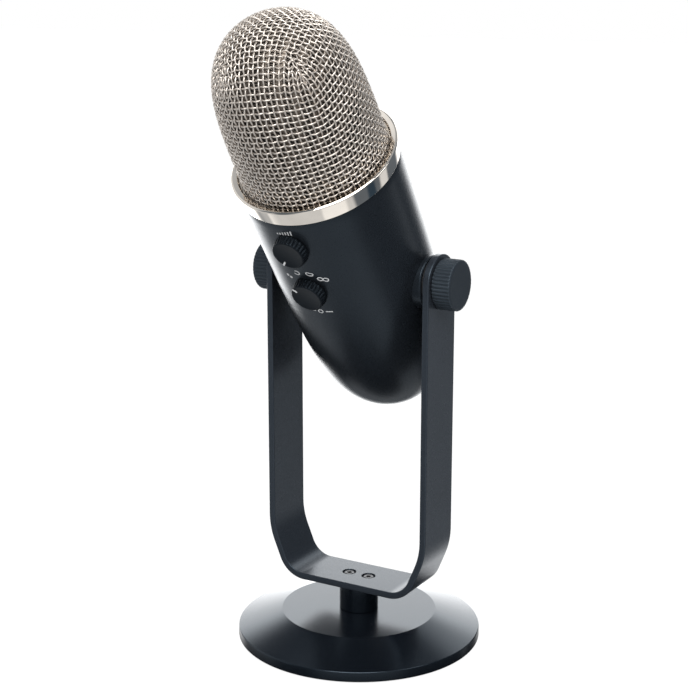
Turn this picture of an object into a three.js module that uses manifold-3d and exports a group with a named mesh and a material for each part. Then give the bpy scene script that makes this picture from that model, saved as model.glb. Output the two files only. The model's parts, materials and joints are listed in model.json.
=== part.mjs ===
// A desktop condenser microphone that tilts between the arms of a bent strap fork on a round cast base.
// Millimetres, +Z up. The origin is the middle of the base pad, where it rests on the desk. X runs along
// the tilt axis. The side with the gain and pattern knobs faces -Y, and the microphone leans that way.
//
// Inside the microphone's own group, Z runs along its axis towards the grille, counted from the tilt axis.
// Pieces on its skin sit in a "panel" group: panel Z points straight out, panel Y runs along the axis.

import * as THREE from "three";
import { mergeVertices } from "three/addons/utils/BufferGeometryUtils.js";
import Module from "manifold-3d";

const wasm = await Module();
wasm.setup();

// ---------------------------------------------------------------- driving dimensions

const GAP = 0.3; // assembly gap between neighbouring pieces
const FULL_ROUND = 40; // sides of a large turned piece
const MEDIUM_ROUND = 24; // sides of a hidden or middle-sized turned piece
const SMALL_ROUND = 12; // sides of a screw, shaft or small hole

// Base
const BASE_RADIUS = 55;
const RIM_HEIGHT = 5.15;
const RIM_CHAMFER = 0.5;
const RIM_FOOT = 0.6; // the casting hangs this far above the desk, on its pad
const TABLE_RADIUS = 35; // the flat round table in the middle of the base
const TABLE_HEIGHT = 12.2;
const PAD_RADIUS = 51;
const PAD_THICKNESS = 1.4;
const POST_RADIUS = 8.8;
const BASE_BOLT_RADIUS = 3;
const BASE_BOLT_HEAD = 5.2;
const BASE_BOLT_END = 19;
const COUNTERBORE_RADIUS = 8;
const COUNTERBORE_TOP = 7.2;
const WASHER_THICKNESS = 1.2;

// Fork, bent from one flat strap
const STRAP_WIDTH = 25.4;
const STRAP_THICKNESS = 3;
const FORK_HALF_WIDTH = 40.2; // over the outer faces of the arms
const FLOOR_TOP = 28.1; // the strap's upper face where it crosses the post
const UPPER_BEND_RADIUS = 34; // outer radii of the two bends at each lower corner
const LOWER_BEND_RADIUS = 13.5;
const BEND_SPLAY = THREE.MathUtils.degToRad(22.5);
const BEND_STRAIGHT = 8.3;
const FORK_SCREW_X = 5;
const FORK_SCREW_HEAD = 2.8;
const FORK_SCREW_SHANK = 1.4;
const FORK_SCREW_END = 20.8;
const FORK_HEAD_SEAT = 1.8; // depth of the counterbores in the strap

// Tilt axis
const PIVOT_HEIGHT = 167;
const REST_TILT = THREE.MathUtils.degToRad(34.5); // the lean at rest
const BOSS_RADIUS = 11.8;
const BOSS_NECK_RADIUS = 6;
const BOSS_END = 35.9; // distances from the middle plane, along X
const FRICTION_WASHER_RADIUS = 11;
const FRICTION_WASHER_START = 36.05;
const FRICTION_WASHER_END = 37.05;
const STUD_RADIUS = 2.5;
const STUD_START = 24.3;
const STUD_END = 46;
const THUMB_KNOB_RADIUS = 11;
const THUMB_KNOB_LENGTH = 8.4;
const THUMB_KNOB_EDGE = 1;

// Microphone body: radius = BODY_RADIUS (1 - taper u) (1 - u^power)^(1 / root), where u runs from 0 at the
// top to 1 at the tip that the curve would reach if the end were not cut flat
const BODY_RADIUS = 34.35;
const BODY_TOP = 60.4;
const BODY_SPAN = 132.2;
const BODY_TAPER = 0.049;
const BODY_POWER = 6.53;
const BODY_ROOT = 1.984;
const BODY_FLAT = 0.953; // u of the flat end
const BODY_WALL = 2.2;
const BODY_END = BODY_TOP - BODY_FLAT * BODY_SPAN;

// Trim ring between the body and the grille, with a skirt down inside the body
const RING_TOP = 68;
const RING_FOOT_RADIUS = 34.65;
const RING_CROWN_RADIUS = 35.6; // just under its rounded top edge
const RING_BORE = 32.3;
const SKIRT_BORE = 30.4;
const SKIRT_END = 54.5;

// Grille dome: the same kind of curve, upwards from the trim ring
const GRILLE_RADIUS = 31.7;
const GRILLE_BASE = 68.1;
const GRILLE_RISE = 64.7;
const GRILLE_TAPER = 0.04;
const GRILLE_POWER = 4.225;
const GRILLE_ROOT = 2.292;
const GRILLE_FOOT = 62.9; // the skirt inside the trim ring starts here
const GRILLE_THICKNESS = 1.3;
const LINER_THICKNESS = 0.5;
const FOAM_THICKNESS = 4;

// Controls
const GAIN_PLACE = 47.4; // along the microphone's axis
const PATTERN_PLACE = 22.9;
const VOLUME_PLACE = 47.4;
const LAMP_PLACE = 36;
const MUTE_PLACE = 24;
const KNOB_FOOT_RADIUS = 7.6;
const KNOB_FACE_RADIUS = 7.1;
const KNOB_HEIGHT = 4;
const SHAFT_RADIUS = 1.95;
const SHAFT_START = 24;
const SHAFT_HOLE_RADIUS = 3.6;
const GAIN_REST_ANGLE = THREE.MathUtils.degToRad(-145); // pointer angles, clockwise from the head end
const PATTERN_REST_ANGLE = THREE.MathUtils.degToRad(-48);
const VOLUME_REST_ANGLE = 0;
const MUTE_RADIUS = 5;
const LAMP_RADIUS = 1.2;
const LAMP_FLANGE_RADIUS = 2.2;
const MUTE_FLANGE_RADIUS = 6.2;

// Inside the body
const PLATE_IN = 18; // the chassis side plates, measured from the middle plane
const PLATE_OUT = 19.6;
const CHASSIS_SCREW_RADIUS = 1.4;
const CHASSIS_SCREW_HEAD = 2.8;
const CHASSIS_HEAD_HEIGHT = 2.4;
const FLANGE_LOW = 52.5;
const FLANGE_HIGH = 55.7;
const FLANGE_RADIUS = 28;
const LEAD_PASS_RADIUS = 4; // hole for the capsule lead in the flange, the deck and the shock mount
const DECK_RADIUS = 30;
const DECK_LOW = 56;
const DECK_HIGH = 58.5;
const BOARD_THICKNESS = 1.6;
const BOARD_FACE = PLATE_OUT + GAP; // the control boards lie on the edges of the side plates
const CONTROL_BACK = 21.8; // the pots and switches stand on the boards
const CONTROL_DEPTH = 6;
const BUSHING_END = 31.4;
const BUSHING_WALL = 0.9;
const DECK_SCREW_X = 22;
const DECK_SCREW_RADIUS = 1.3;
const DECK_SCREW_HEAD = 2.6;
const BOTTOM_SCREW_X = 11.3;
const BOTTOM_SCREW_RADIUS = 1;
const BOTTOM_SCREW_HEAD = 2.3;
const BOTTOM_SCREW_TIP = -57;
const STANDOFF_RADIUS = 2.8;
const BOTTOM_PLATE_RADIUS = 15;
const BOTTOM_PLATE_THICKNESS = 3;
const PORT_OFFSET = 11.3; // ports and screws sit on one circle in the bottom plate
const INSERT_RADIUS = 6.6;
const INSERT_FLANGE_RADIUS = 7.8;
const INSERT_BORE = 4.3;
const CAPSULE_RADIUS = 7.3;
const CAPSULE_PLACE = 89;
const STEM_TOP = 97;
const STEM_INRADIUS = 5.5;
const LEAD_RADIUS = 1.2;

// ---------------------------------------------------------------- materials

function finish(color, roughness, metalness) {
  return new THREE.MeshStandardMaterial({ color, roughness, metalness });
}

const SATIN_BLACK = finish(0x23282e, 0.42, 0.35);
const STRAP_BLACK = finish(0x2c3238, 0.45, 0.35);
const KNOB_BLACK = finish(0x1c1f23, 0.5, 0);
const RUBBER = finish(0x111214, 0.85, 0);
const CHROME = finish(0xd9d2c6, 0.08, 1);
const NICKEL = finish(0xb9b0a3, 0.3, 1);
const STEEL = finish(0x8d9194, 0.35, 1);
const DARK_SCREW = finish(0x2a2c2f, 0.4, 0.8);
const BRASS = finish(0xb5904a, 0.35, 1);
const FOAM = finish(0x4b453f, 0.95, 0);
const BOARD_GREEN = finish(0x1f5a3a, 0.6, 0);
const GREY_PLASTIC = finish(0x5a5d60, 0.6, 0);
const LAMP_RED = finish(0xc8281e, 0.3, 0);
const CABLE_GREY = finish(0x777777, 0.7, 0);

// ---------------------------------------------------------------- geometry helpers

const WELD = 1e-4; // vertices closer than this are one vertex

// A closed solid from a three.js geometry, with its faces pointing out and its zero-area faces dropped.
function solidOf(geometry) {
  const bare = geometry.clone();
  bare.deleteAttribute("normal");
  bare.deleteAttribute("uv");
  const welded = mergeVertices(bare, WELD);
  const corners = Array.from(welded.index.array);
  const kept = [];
  for (let i = 0; i < corners.length; i += 3) {
    const [a, b, c] = corners.slice(i, i + 3);
    if (a !== b && b !== c && c !== a) kept.push(a, b, c);
  }
  const build = (list) =>
    new wasm.Manifold(
      new wasm.Mesh({
        numProp: 3,
        vertProperties: welded.attributes.position.array,
        triVerts: new Uint32Array(list),
      }),
    );
  const made = build(kept);
  return made.volume() < 0 ? build(kept.reverse()) : made;
}

function geometryOf(solid) {
  const mesh = solid.getMesh();
  const geometry = new THREE.BufferGeometry();
  geometry.setAttribute("position", new THREE.BufferAttribute(new Float32Array(mesh.vertProperties), 3));
  geometry.setIndex(new THREE.BufferAttribute(new Uint32Array(mesh.triVerts), 1));
  geometry.computeVertexNormals();
  return geometry;
}

function cut(geometry, ...tools) {
  return geometryOf(tools.reduce((rest, tool) => rest.subtract(solidOf(tool)), solidOf(geometry)));
}

function join(geometry, ...others) {
  return geometryOf(others.reduce((sum, other) => sum.add(solidOf(other)), solidOf(geometry)));
}

function common(first, second) {
  return geometryOf(solidOf(first).intersect(solidOf(second)));
}

// A piece turned about Z from its half outline of [radius, height] points. An outline that does not
// start and end on the axis closes on itself and leaves a bore.
function turned(outline, sides = FULL_ROUND) {
  const points = outline.map(([radius, height]) => new THREE.Vector2(radius, height));
  if (points[0].x > 0 || points.at(-1).x > 0) points.push(points[0].clone());
  return new THREE.LatheGeometry(points, sides).rotateX(Math.PI / 2);
}

function rod(radius, from, to, sides = SMALL_ROUND) {
  return turned([[0, from], [radius, from], [radius, to], [0, to]], sides);
}

function sleeve(outer, inner, from, to, sides = MEDIUM_ROUND) {
  return turned([[inner, from], [outer, from], [outer, to], [inner, to]], sides);
}

function block(x0, x1, y0, y1, z0, z1) {
  const box = new THREE.BoxGeometry(x1 - x0, y1 - y0, z1 - z0);
  return box.translate((x0 + x1) / 2, (y0 + y1) / 2, (z0 + z1) / 2);
}

// A flat sheet in the XZ plane from its [x, z] outline, standing between two Y values.
function sheet(outline, y0, y1) {
  const shape = new THREE.Shape(outline.map(([x, z]) => new THREE.Vector2(x, z)));
  const extruded = new THREE.ExtrudeGeometry(shape, { depth: y1 - y0, bevelEnabled: false });
  return extruded.rotateX(Math.PI / 2).translate(0, y1, 0);
}

function moved(geometry, x, y, z) {
  return geometry.translate(x, y, z);
}

// A screw along Z with its head's outer face at `top`, its shank ending at `tip` and a hexagon socket.
function capScrew(headRadius, headHeight, shankRadius, top, tip) {
  const down = Math.sign(top - tip);
  const under = top - down * headHeight;
  const outline = [
    [0, tip],
    [shankRadius, tip],
    [shankRadius, under],
    [headRadius, under],
    [headRadius, top],
    [0, top],
  ];
  const socket = rod(headRadius * 0.5, top - down * headHeight * 0.6, top + down, 6);
  return cut(turned(outline, SMALL_ROUND), socket);
}

// ---------------------------------------------------------------- scene graph helpers

const assembly = new THREE.Group();

function place(parent, name, geometry, material) {
  const mesh = new THREE.Mesh(geometry, material.clone());
  mesh.name = name;
  parent.add(mesh);
  return mesh;
}

// A group on the side of `parent`: turn 0 faces -Y, a quarter turn +X, a half turn +Y.
function panel(parent, turn) {
  const side = new THREE.Group();
  side.rotation.z = turn;
  const face = new THREE.Group();
  face.rotation.x = Math.PI / 2;
  side.add(face);
  parent.add(side);
  return face;
}

const SIDES = [["right", Math.PI / 2], ["left", -Math.PI / 2]];

// ---------------------------------------------------------------- base and post

const padSeat = PAD_THICKNESS + GAP;
const castingOutline = [
  [0, padSeat],
  [PAD_RADIUS + GAP, padSeat],
  [PAD_RADIUS + GAP, RIM_FOOT],
  [BASE_RADIUS - RIM_CHAMFER, RIM_FOOT],
  [BASE_RADIUS, RIM_FOOT + RIM_CHAMFER],
  [BASE_RADIUS, RIM_HEIGHT - RIM_CHAMFER],
  [BASE_RADIUS - RIM_CHAMFER, RIM_HEIGHT],
  [TABLE_RADIUS, TABLE_HEIGHT],
  [0, TABLE_HEIGHT],
];
const casting = cut(
  turned(castingOutline),
  rod(COUNTERBORE_RADIUS, 0, COUNTERBORE_TOP, MEDIUM_ROUND),
  rod(BASE_BOLT_RADIUS + GAP, 0, TABLE_HEIGHT + 1),
);
place(assembly, "base_casting", casting, SATIN_BLACK);
place(assembly, "base_pad", rod(PAD_RADIUS, 0, PAD_THICKNESS, FULL_ROUND), RUBBER);

const washerLow = COUNTERBORE_TOP - WASHER_THICKNESS;
const baseWasher = sleeve(COUNTERBORE_RADIUS - GAP, BASE_BOLT_RADIUS + GAP, washerLow, COUNTERBORE_TOP);
const boltHeadLow = padSeat + GAP;
const boltHeadHeight = washerLow - boltHeadLow;
const baseBolt = capScrew(BASE_BOLT_HEAD, boltHeadHeight, BASE_BOLT_RADIUS, boltHeadLow, BASE_BOLT_END);
place(assembly, "base_washer", baseWasher, STEEL);
place(assembly, "base_bolt", baseBolt, STEEL);

const floorUnder = FLOOR_TOP - STRAP_THICKNESS;
const screwBores = [-1, 1].map((side) =>
  moved(rod(FORK_SCREW_SHANK + GAP, FORK_SCREW_END - GAP, floorUnder + 1), side * FORK_SCREW_X, 0, 0),
);
const post = cut(
  rod(POST_RADIUS, TABLE_HEIGHT, floorUnder, MEDIUM_ROUND),
  rod(BASE_BOLT_RADIUS + GAP, TABLE_HEIGHT - 1, BASE_BOLT_END + GAP),
  ...screwBores,
);
place(assembly, "stand_post", post, SATIN_BLACK);

// ---------------------------------------------------------------- fork

// One lower corner of the strap, from the arm down to the floor, at a depth inside the outer face.
function cornerPoints(depth) {
  const spread = UPPER_BEND_RADIUS - LOWER_BEND_RADIUS;
  const lowerZ = floorUnder + LOWER_BEND_RADIUS;
  const upperZ = lowerZ + spread * Math.sin(BEND_SPLAY) + BEND_STRAIGHT * Math.cos(BEND_SPLAY);
  const upperX = FORK_HALF_WIDTH - UPPER_BEND_RADIUS;
  const lowerX = upperX + spread * Math.cos(BEND_SPLAY) - BEND_STRAIGHT * Math.sin(BEND_SPLAY);
  const arc = (x, z, radius, from, to, steps) =>
    Array.from({ length: steps + 1 }, (_, i) => {
      const angle = from + ((to - from) * i) / steps;
      return [x + radius * Math.cos(angle), z - radius * Math.sin(angle)];
    });
  return [
    ...arc(upperX, upperZ, UPPER_BEND_RADIUS - depth, 0, BEND_SPLAY, 4),
    ...arc(lowerX, lowerZ, LOWER_BEND_RADIUS - depth, BEND_SPLAY, Math.PI / 2, 6),
  ];
}

function strapLine(depth) {
  const right = [[FORK_HALF_WIDTH - depth, PIVOT_HEIGHT + STRAP_WIDTH], ...cornerPoints(depth)];
  const left = right.map(([x, z]) => [-x, z]).reverse();
  return [...right, ...left];
}

const halfStrap = STRAP_WIDTH / 2;
const bentStrap = sheet([...strapLine(0), ...strapLine(STRAP_THICKNESS).reverse()], -halfStrap, halfStrap);
const armEnds = rod(halfStrap, -FORK_HALF_WIDTH - 1, FORK_HALF_WIDTH + 1, MEDIUM_ROUND).rotateY(Math.PI / 2);
const armZone = join(
  block(-FORK_HALF_WIDTH - 1, FORK_HALF_WIDTH + 1, -halfStrap, halfStrap, 0, PIVOT_HEIGHT),
  moved(armEnds, 0, 0, PIVOT_HEIGHT),
);
const pivotHoles = rod(STUD_RADIUS + GAP, -FORK_HALF_WIDTH - 1, FORK_HALF_WIDTH + 1).rotateY(Math.PI / 2);
const headSeats = [-1, 1].flatMap((side) => [
  moved(rod(FORK_SCREW_HEAD + GAP, FLOOR_TOP - FORK_HEAD_SEAT, FLOOR_TOP + 1), side * FORK_SCREW_X, 0, 0),
  moved(rod(FORK_SCREW_SHANK + GAP, floorUnder - 1, FLOOR_TOP), side * FORK_SCREW_X, 0, 0),
]);
const fork = cut(common(bentStrap, armZone), moved(pivotHoles, 0, 0, PIVOT_HEIGHT), ...headSeats);
place(assembly, "fork_bracket", fork, STRAP_BLACK);

const headTop = FLOOR_TOP - 0.3;
const headHeight = FORK_HEAD_SEAT - 0.3;
for (const [name, side] of [["fork_screw_right", 1], ["fork_screw_left", -1]]) {
  const screw = capScrew(FORK_SCREW_HEAD, headHeight, FORK_SCREW_SHANK, headTop, FORK_SCREW_END);
  place(assembly, name, screw, DARK_SCREW).position.x = side * FORK_SCREW_X;
}

// ---------------------------------------------------------------- tilt axis, on the stand's side

const pivot = new THREE.Group();
pivot.position.z = PIVOT_HEIGHT;
assembly.add(pivot);

const knobStart = FORK_HALF_WIDTH + GAP;
const knobEnd = knobStart + THUMB_KNOB_LENGTH;
const thumbKnobOutline = [
  [0, knobStart],
  [THUMB_KNOB_RADIUS, knobStart],
  [THUMB_KNOB_RADIUS, knobEnd - THUMB_KNOB_EDGE],
  [THUMB_KNOB_RADIUS - THUMB_KNOB_EDGE * 0.3, knobEnd - THUMB_KNOB_EDGE * 0.3],
  [THUMB_KNOB_RADIUS - THUMB_KNOB_EDGE, knobEnd],
  [0, knobEnd],
];
for (const [side, turn] of SIDES) {
  const outside = panel(pivot, turn);
  const boreRadius = STUD_RADIUS + GAP;
  const washer = sleeve(FRICTION_WASHER_RADIUS, boreRadius, FRICTION_WASHER_START, FRICTION_WASHER_END);
  const knobBore = rod(boreRadius, knobStart - 1, STUD_END + GAP);
  place(outside, `friction_washer_${side}`, washer, RUBBER);
  place(outside, `thumb_knob_${side}`, cut(turned(thumbKnobOutline, MEDIUM_ROUND), knobBore), KNOB_BLACK);
  place(outside, `thumb_stud_${side}`, rod(STUD_RADIUS, STUD_START, STUD_END), STEEL);
}

// ---------------------------------------------------------------- microphone skin

const microphone = new THREE.Group();
microphone.position.z = PIVOT_HEIGHT;
microphone.rotation.x = REST_TILT;
assembly.add(microphone);

// The shared bullet curve: a slow taper that turns in ever faster towards the tip at u = 1.
function bulletRadius(u, radius, taper, power, root) {
  return radius * (1 - taper * u) * (1 - u ** power) ** (1 / root);
}

function bodyRadiusAt(place) {
  return bulletRadius((BODY_TOP - place) / BODY_SPAN, BODY_RADIUS, BODY_TAPER, BODY_POWER, BODY_ROOT);
}

// Heights down the body, closer together where it turns in.
const BODY_STEPS = 9;
const bodyPlaces = Array.from({ length: BODY_STEPS + 1 }, (_, i) => {
  const share = i / BODY_STEPS;
  return BODY_TOP - BODY_SPAN * BODY_FLAT * (1 - (1 - share) ** 1.9);
});

function bodyLine(inset) {
  return bodyPlaces.map((place) => [bodyRadiusAt(place) - inset, place]);
}

function bodySolid(grow) {
  return turned([[0, BODY_TOP], ...bodyLine(-grow), [0, BODY_END]]);
}

// A rod that points out of the body's side at a place along its axis, for cutting holes.
function sideRod(radius, place, turn, sides = SMALL_ROUND) {
  const pin = rod(radius, BODY_RADIUS / 2, BODY_RADIUS + 1, sides);
  return moved(pin.rotateX(Math.PI / 2).rotateZ(turn), 0, 0, place);
}

const hollowShell = turned([...bodyLine(0), ...bodyLine(BODY_WALL).reverse()]);
const shellHoles = [
  rod(BOTTOM_PLATE_RADIUS + GAP, BODY_END - 1, BODY_END + BOTTOM_PLATE_THICKNESS + GAP, MEDIUM_ROUND),
  sideRod(SHAFT_HOLE_RADIUS, GAIN_PLACE, 0),
  sideRod(SHAFT_HOLE_RADIUS, PATTERN_PLACE, 0),
  sideRod(SHAFT_HOLE_RADIUS, VOLUME_PLACE, Math.PI),
  sideRod(LAMP_RADIUS + GAP, LAMP_PLACE, Math.PI),
  sideRod(MUTE_RADIUS + GAP, MUTE_PLACE, Math.PI, MEDIUM_ROUND),
  ...SIDES.map(([, turn]) => sideRod(BOSS_NECK_RADIUS + GAP, 0, turn, MEDIUM_ROUND)),
];
place(microphone, "body_shell", cut(hollowShell, ...shellHoles), SATIN_BLACK);

const ringLow = BODY_TOP + GAP;
const skirtRadius = BODY_RADIUS - BODY_WALL - GAP;
const ringOutline = [
  [SKIRT_BORE, SKIRT_END],
  [skirtRadius, SKIRT_END],
  [skirtRadius, ringLow],
  [RING_FOOT_RADIUS, ringLow],
  [RING_CROWN_RADIUS, RING_TOP - 1.1],
  [RING_CROWN_RADIUS - 0.15, RING_TOP - 0.3],
  [RING_CROWN_RADIUS - 0.6, RING_TOP],
  [RING_BORE + 0.3, RING_TOP - 0.25],
  [RING_BORE, RING_TOP - 0.6],
  [RING_BORE, GRILLE_FOOT - GAP],
  [SKIRT_BORE, GRILLE_FOOT - GAP],
];
place(microphone, "trim_ring", turned(ringOutline), CHROME);

// The dome line at an inset from the outer mesh, from the foot of the skirt to the top.
const DOME_STEPS = 7;
const DOME_ROUND = 28;
function domeLine(inset) {
  const rise = GRILLE_RISE - inset;
  const line = Array.from({ length: DOME_STEPS + 1 }, (_, i) => {
    const u = 1 - (1 - i / DOME_STEPS) ** 2;
    const radius = bulletRadius(u, GRILLE_RADIUS - inset, GRILLE_TAPER, GRILLE_POWER, GRILLE_ROOT);
    return [radius, GRILLE_BASE + rise * u];
  });
  return [[GRILLE_RADIUS - inset, GRILLE_FOOT], ...line];
}

function dome(inset, thickness) {
  const inner = domeLine(inset + thickness).reverse();
  const shell = [...domeLine(inset), ...inner];
  return turned(shell, DOME_ROUND);
}

const linerInset = GRILLE_THICKNESS + GAP;
const foamInset = linerInset + LINER_THICKNESS + GAP;
place(microphone, "head_grille", dome(0, GRILLE_THICKNESS), NICKEL);
place(microphone, "inner_mesh", dome(linerInset, LINER_THICKNESS), NICKEL);
place(microphone, "foam_liner", dome(foamInset, FOAM_THICKNESS), FOAM);

// ---------------------------------------------------------------- tilt bosses, on the microphone's side

const standingBody = bodySolid(GAP).rotateX(-Math.PI / 2);
const screwTop = PLATE_IN - GAP - CHASSIS_HEAD_HEIGHT;
const screwTip = STUD_START - 1.6;
const bossScrew = capScrew(
  CHASSIS_SCREW_HEAD,
  CHASSIS_HEAD_HEIGHT,
  CHASSIS_SCREW_RADIUS,
  screwTop,
  screwTip,
);
for (const [side, turn] of SIDES) {
  const outside = panel(microphone, turn);
  const seat = cut(rod(BOSS_RADIUS, BODY_RADIUS - 7, BOSS_END, MEDIUM_ROUND), standingBody);
  const neck = rod(BOSS_NECK_RADIUS, PLATE_OUT + GAP, BOSS_END, MEDIUM_ROUND);
  const studBore = rod(STUD_RADIUS + GAP, STUD_START - GAP, BOSS_END + 1);
  const screwBore = rod(CHASSIS_SCREW_RADIUS + GAP, PLATE_OUT, screwTip + GAP);
  place(outside, `pivot_boss_${side}`, cut(join(seat, neck), studBore, screwBore), SATIN_BLACK);
  place(outside, `boss_screw_${side}`, bossScrew, STEEL);
}

// ---------------------------------------------------------------- controls

// A pot or switch behind the skin, with a bushing that holds its shaft.
function controlBody(halfSize) {
  const housingFront = CONTROL_BACK + CONTROL_DEPTH;
  const boreRadius = SHAFT_RADIUS + GAP;
  const housing = block(-halfSize, halfSize, -halfSize, halfSize, CONTROL_BACK, housingFront);
  const bushing = rod(boreRadius + BUSHING_WALL, housingFront - 0.1, BUSHING_END);
  const bore = rod(boreRadius, SHAFT_START - GAP, BUSHING_END + 1);
  return cut(join(housing, bushing), bore);
}

// A round knob with a pointer groove cut in its face, at an angle clockwise from the head end.
function controlKnob(surface, angle) {
  const foot = surface + GAP;
  const face = foot + KNOB_HEIGHT;
  const outline = [
    [0, foot],
    [KNOB_FOOT_RADIUS - 0.4, foot],
    [KNOB_FOOT_RADIUS, foot + 0.4],
    [KNOB_FACE_RADIUS, face - 0.6],
    [KNOB_FACE_RADIUS - 0.6, face],
    [0, face],
  ];
  const pointer = block(-0.4, 0.4, KNOB_FACE_RADIUS - 2.6, KNOB_FACE_RADIUS + 1, face - 0.35, face + 1);
  const bore = rod(SHAFT_RADIUS + GAP, foot - 1, face - 1.3);
  return cut(turned(outline, MEDIUM_ROUND), bore, pointer.rotateZ(-angle));
}

const front = panel(microphone, 0);
const rear = panel(microphone, Math.PI);
const controls = [
  ["gain", "pot", front, GAIN_PLACE, GAIN_REST_ANGLE, 4.7],
  ["pattern", "switch", front, PATTERN_PLACE, PATTERN_REST_ANGLE, 6],
  ["volume", "pot", rear, VOLUME_PLACE, VOLUME_REST_ANGLE, 4.7],
];
for (const [name, kind, face, height, angle, halfSize] of controls) {
  const surface = bodyRadiusAt(height - KNOB_FOOT_RADIUS / 2);
  const shaft = rod(SHAFT_RADIUS, SHAFT_START, surface + KNOB_HEIGHT - 1.3);
  place(face, `${name}_${kind}`, controlBody(halfSize), GREY_PLASTIC).position.y = height;
  place(face, `${name}_shaft`, shaft, STEEL).position.y = height;
  place(face, `${name}_knob`, controlKnob(surface, angle), KNOB_BLACK).position.y = height;
}

const muteSurface = bodyRadiusAt(MUTE_PLACE);
const MUTE_BACK = 27.3; // leaves the button's travel in front of the switch
const MUTE_FLANGE_FRONT = 30.3;
const MUTE_PLUNGER_FRONT = 25.8;
const muteOutline = [
  [0, MUTE_BACK],
  [MUTE_FLANGE_RADIUS, MUTE_BACK],
  [MUTE_FLANGE_RADIUS, MUTE_FLANGE_FRONT],
  [MUTE_RADIUS, MUTE_FLANGE_FRONT],
  [MUTE_RADIUS, muteSurface + 1.1],
  [MUTE_RADIUS - 0.5, muteSurface + 1.6],
  [0, muteSurface + 1.8],
];
const lampOutline = [
  [0, CONTROL_BACK],
  [LAMP_FLANGE_RADIUS, CONTROL_BACK],
  [LAMP_FLANGE_RADIUS, CONTROL_BACK + 3],
  [LAMP_RADIUS, CONTROL_BACK + 3],
  [LAMP_RADIUS, bodyRadiusAt(LAMP_PLACE)],
  [0, bodyRadiusAt(LAMP_PLACE) + 0.4],
];
const muteSwitch = join(
  block(-3.1, 3.1, -3.1, 3.1, CONTROL_BACK, MUTE_PLUNGER_FRONT - 0.5),
  rod(1.6, CONTROL_BACK + 1, MUTE_PLUNGER_FRONT),
);
place(rear, "mute_button", turned(muteOutline, MEDIUM_ROUND), KNOB_BLACK).position.y = MUTE_PLACE;
place(rear, "mute_lamp", turned(lampOutline, SMALL_ROUND), LAMP_RED).position.y = LAMP_PLACE;
place(rear, "mute_switch", muteSwitch, GREY_PLASTIC).position.y = MUTE_PLACE;

const boardTop = FLANGE_LOW - GAP;
for (const [name, face] of [["front_board", front], ["rear_board", rear]]) {
  const board = block(-14, 14, 12, boardTop, BOARD_FACE, BOARD_FACE + BOARD_THICKNESS);
  place(face, name, board, BOARD_GREEN);
}

// ---------------------------------------------------------------- chassis and boards

// A side plate's outline in panel axes: wide behind the controls, narrow where the body turns in.
const BRIDGE_LOW = -50;
const BRIDGE_HIGH = -48;
const narrowHalf = 10;
const plateHalfLine = [
  [PLATE_OUT, FLANGE_LOW + 1],
  [PLATE_OUT, -30],
  [narrowHalf, -38],
  [narrowHalf, BRIDGE_LOW],
];
const sidePlateLine = [...plateHalfLine, ...plateHalfLine.map(([y, z]) => [-y, z]).reverse()];
const sidePlates = [-1, 1].map((side) => {
  const middle = (side * (PLATE_IN + PLATE_OUT)) / 2;
  const half = (PLATE_OUT - PLATE_IN) / 2;
  const plate = sheet(sidePlateLine, -half, half).rotateZ(Math.PI / 2);
  return moved(plate, middle, 0, 0);
});
const flange = sleeve(FLANGE_RADIUS, LEAD_PASS_RADIUS, FLANGE_LOW, FLANGE_HIGH);
const bridge = block(-PLATE_OUT, PLATE_OUT, -8, 8, BRIDGE_LOW, BRIDGE_HIGH);
const BOTTOM_PLATE_TOP = BODY_END + BOTTOM_PLATE_THICKNESS;
const standoffs = [-1, 1].map((side) =>
  moved(rod(STANDOFF_RADIUS, BOTTOM_PLATE_TOP + GAP, BRIDGE_HIGH - 1), side * BOTTOM_SCREW_X, 0, 0),
);
const chassisBores = [-1, 1].flatMap((side) => [
  moved(rod(BOTTOM_SCREW_RADIUS + GAP, BOTTOM_PLATE_TOP, BOTTOM_SCREW_TIP + 1), side * BOTTOM_SCREW_X, 0, 0),
  moved(rod(DECK_SCREW_RADIUS + GAP, FLANGE_LOW - 1, FLANGE_HIGH + 1), side * DECK_SCREW_X, 0, 0),
]);
const bossHoles = rod(CHASSIS_SCREW_RADIUS + GAP, -PLATE_OUT - 1, PLATE_OUT + 1).rotateY(Math.PI / 2);
const chassis = cut(join(flange, ...sidePlates, bridge, ...standoffs), ...chassisBores, bossHoles);
place(microphone, "chassis", chassis, STEEL);

// The main board stands between the side plates, notched round the heads of the boss screws.
const boardEdge = PLATE_IN - GAP;
const notchEdge = screwTop - 0.9;
const notchHalf = CHASSIS_SCREW_HEAD + 2;
const mainBoardRight = [
  [boardEdge, 50],
  [boardEdge, notchHalf],
  [notchEdge, notchHalf],
  [notchEdge, -notchHalf],
  [boardEdge, -notchHalf],
  [boardEdge, -44],
];
const mainBoardLine = [...mainBoardRight, ...mainBoardRight.map(([x, z]) => [-x, z]).reverse()];
const mainBoard = join(
  sheet(mainBoardLine, -BOARD_THICKNESS / 2, BOARD_THICKNESS / 2),
  block(-5, 5, -2.2, 0, 8, 18), // audio converter
  block(-3, 6, -2.4, 0, -22, -13), // bus controller
  block(-12, -6, -6, 0, -38, -32), // supply capacitor
);
place(microphone, "main_board", mainBoard, BOARD_GREEN);

// ---------------------------------------------------------------- bottom end

const USB_HALF_WIDTH = 4.5;
const USB_HALF_HEIGHT = 1.65;
const JACK_RADIUS = 3.2;
const JACK_BORE = 1.8;

function usbBlock(grow, low, high) {
  const x = USB_HALF_WIDTH + grow;
  const y = USB_HALF_HEIGHT + grow;
  return block(-x, x, -y, y, low, high);
}

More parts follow.
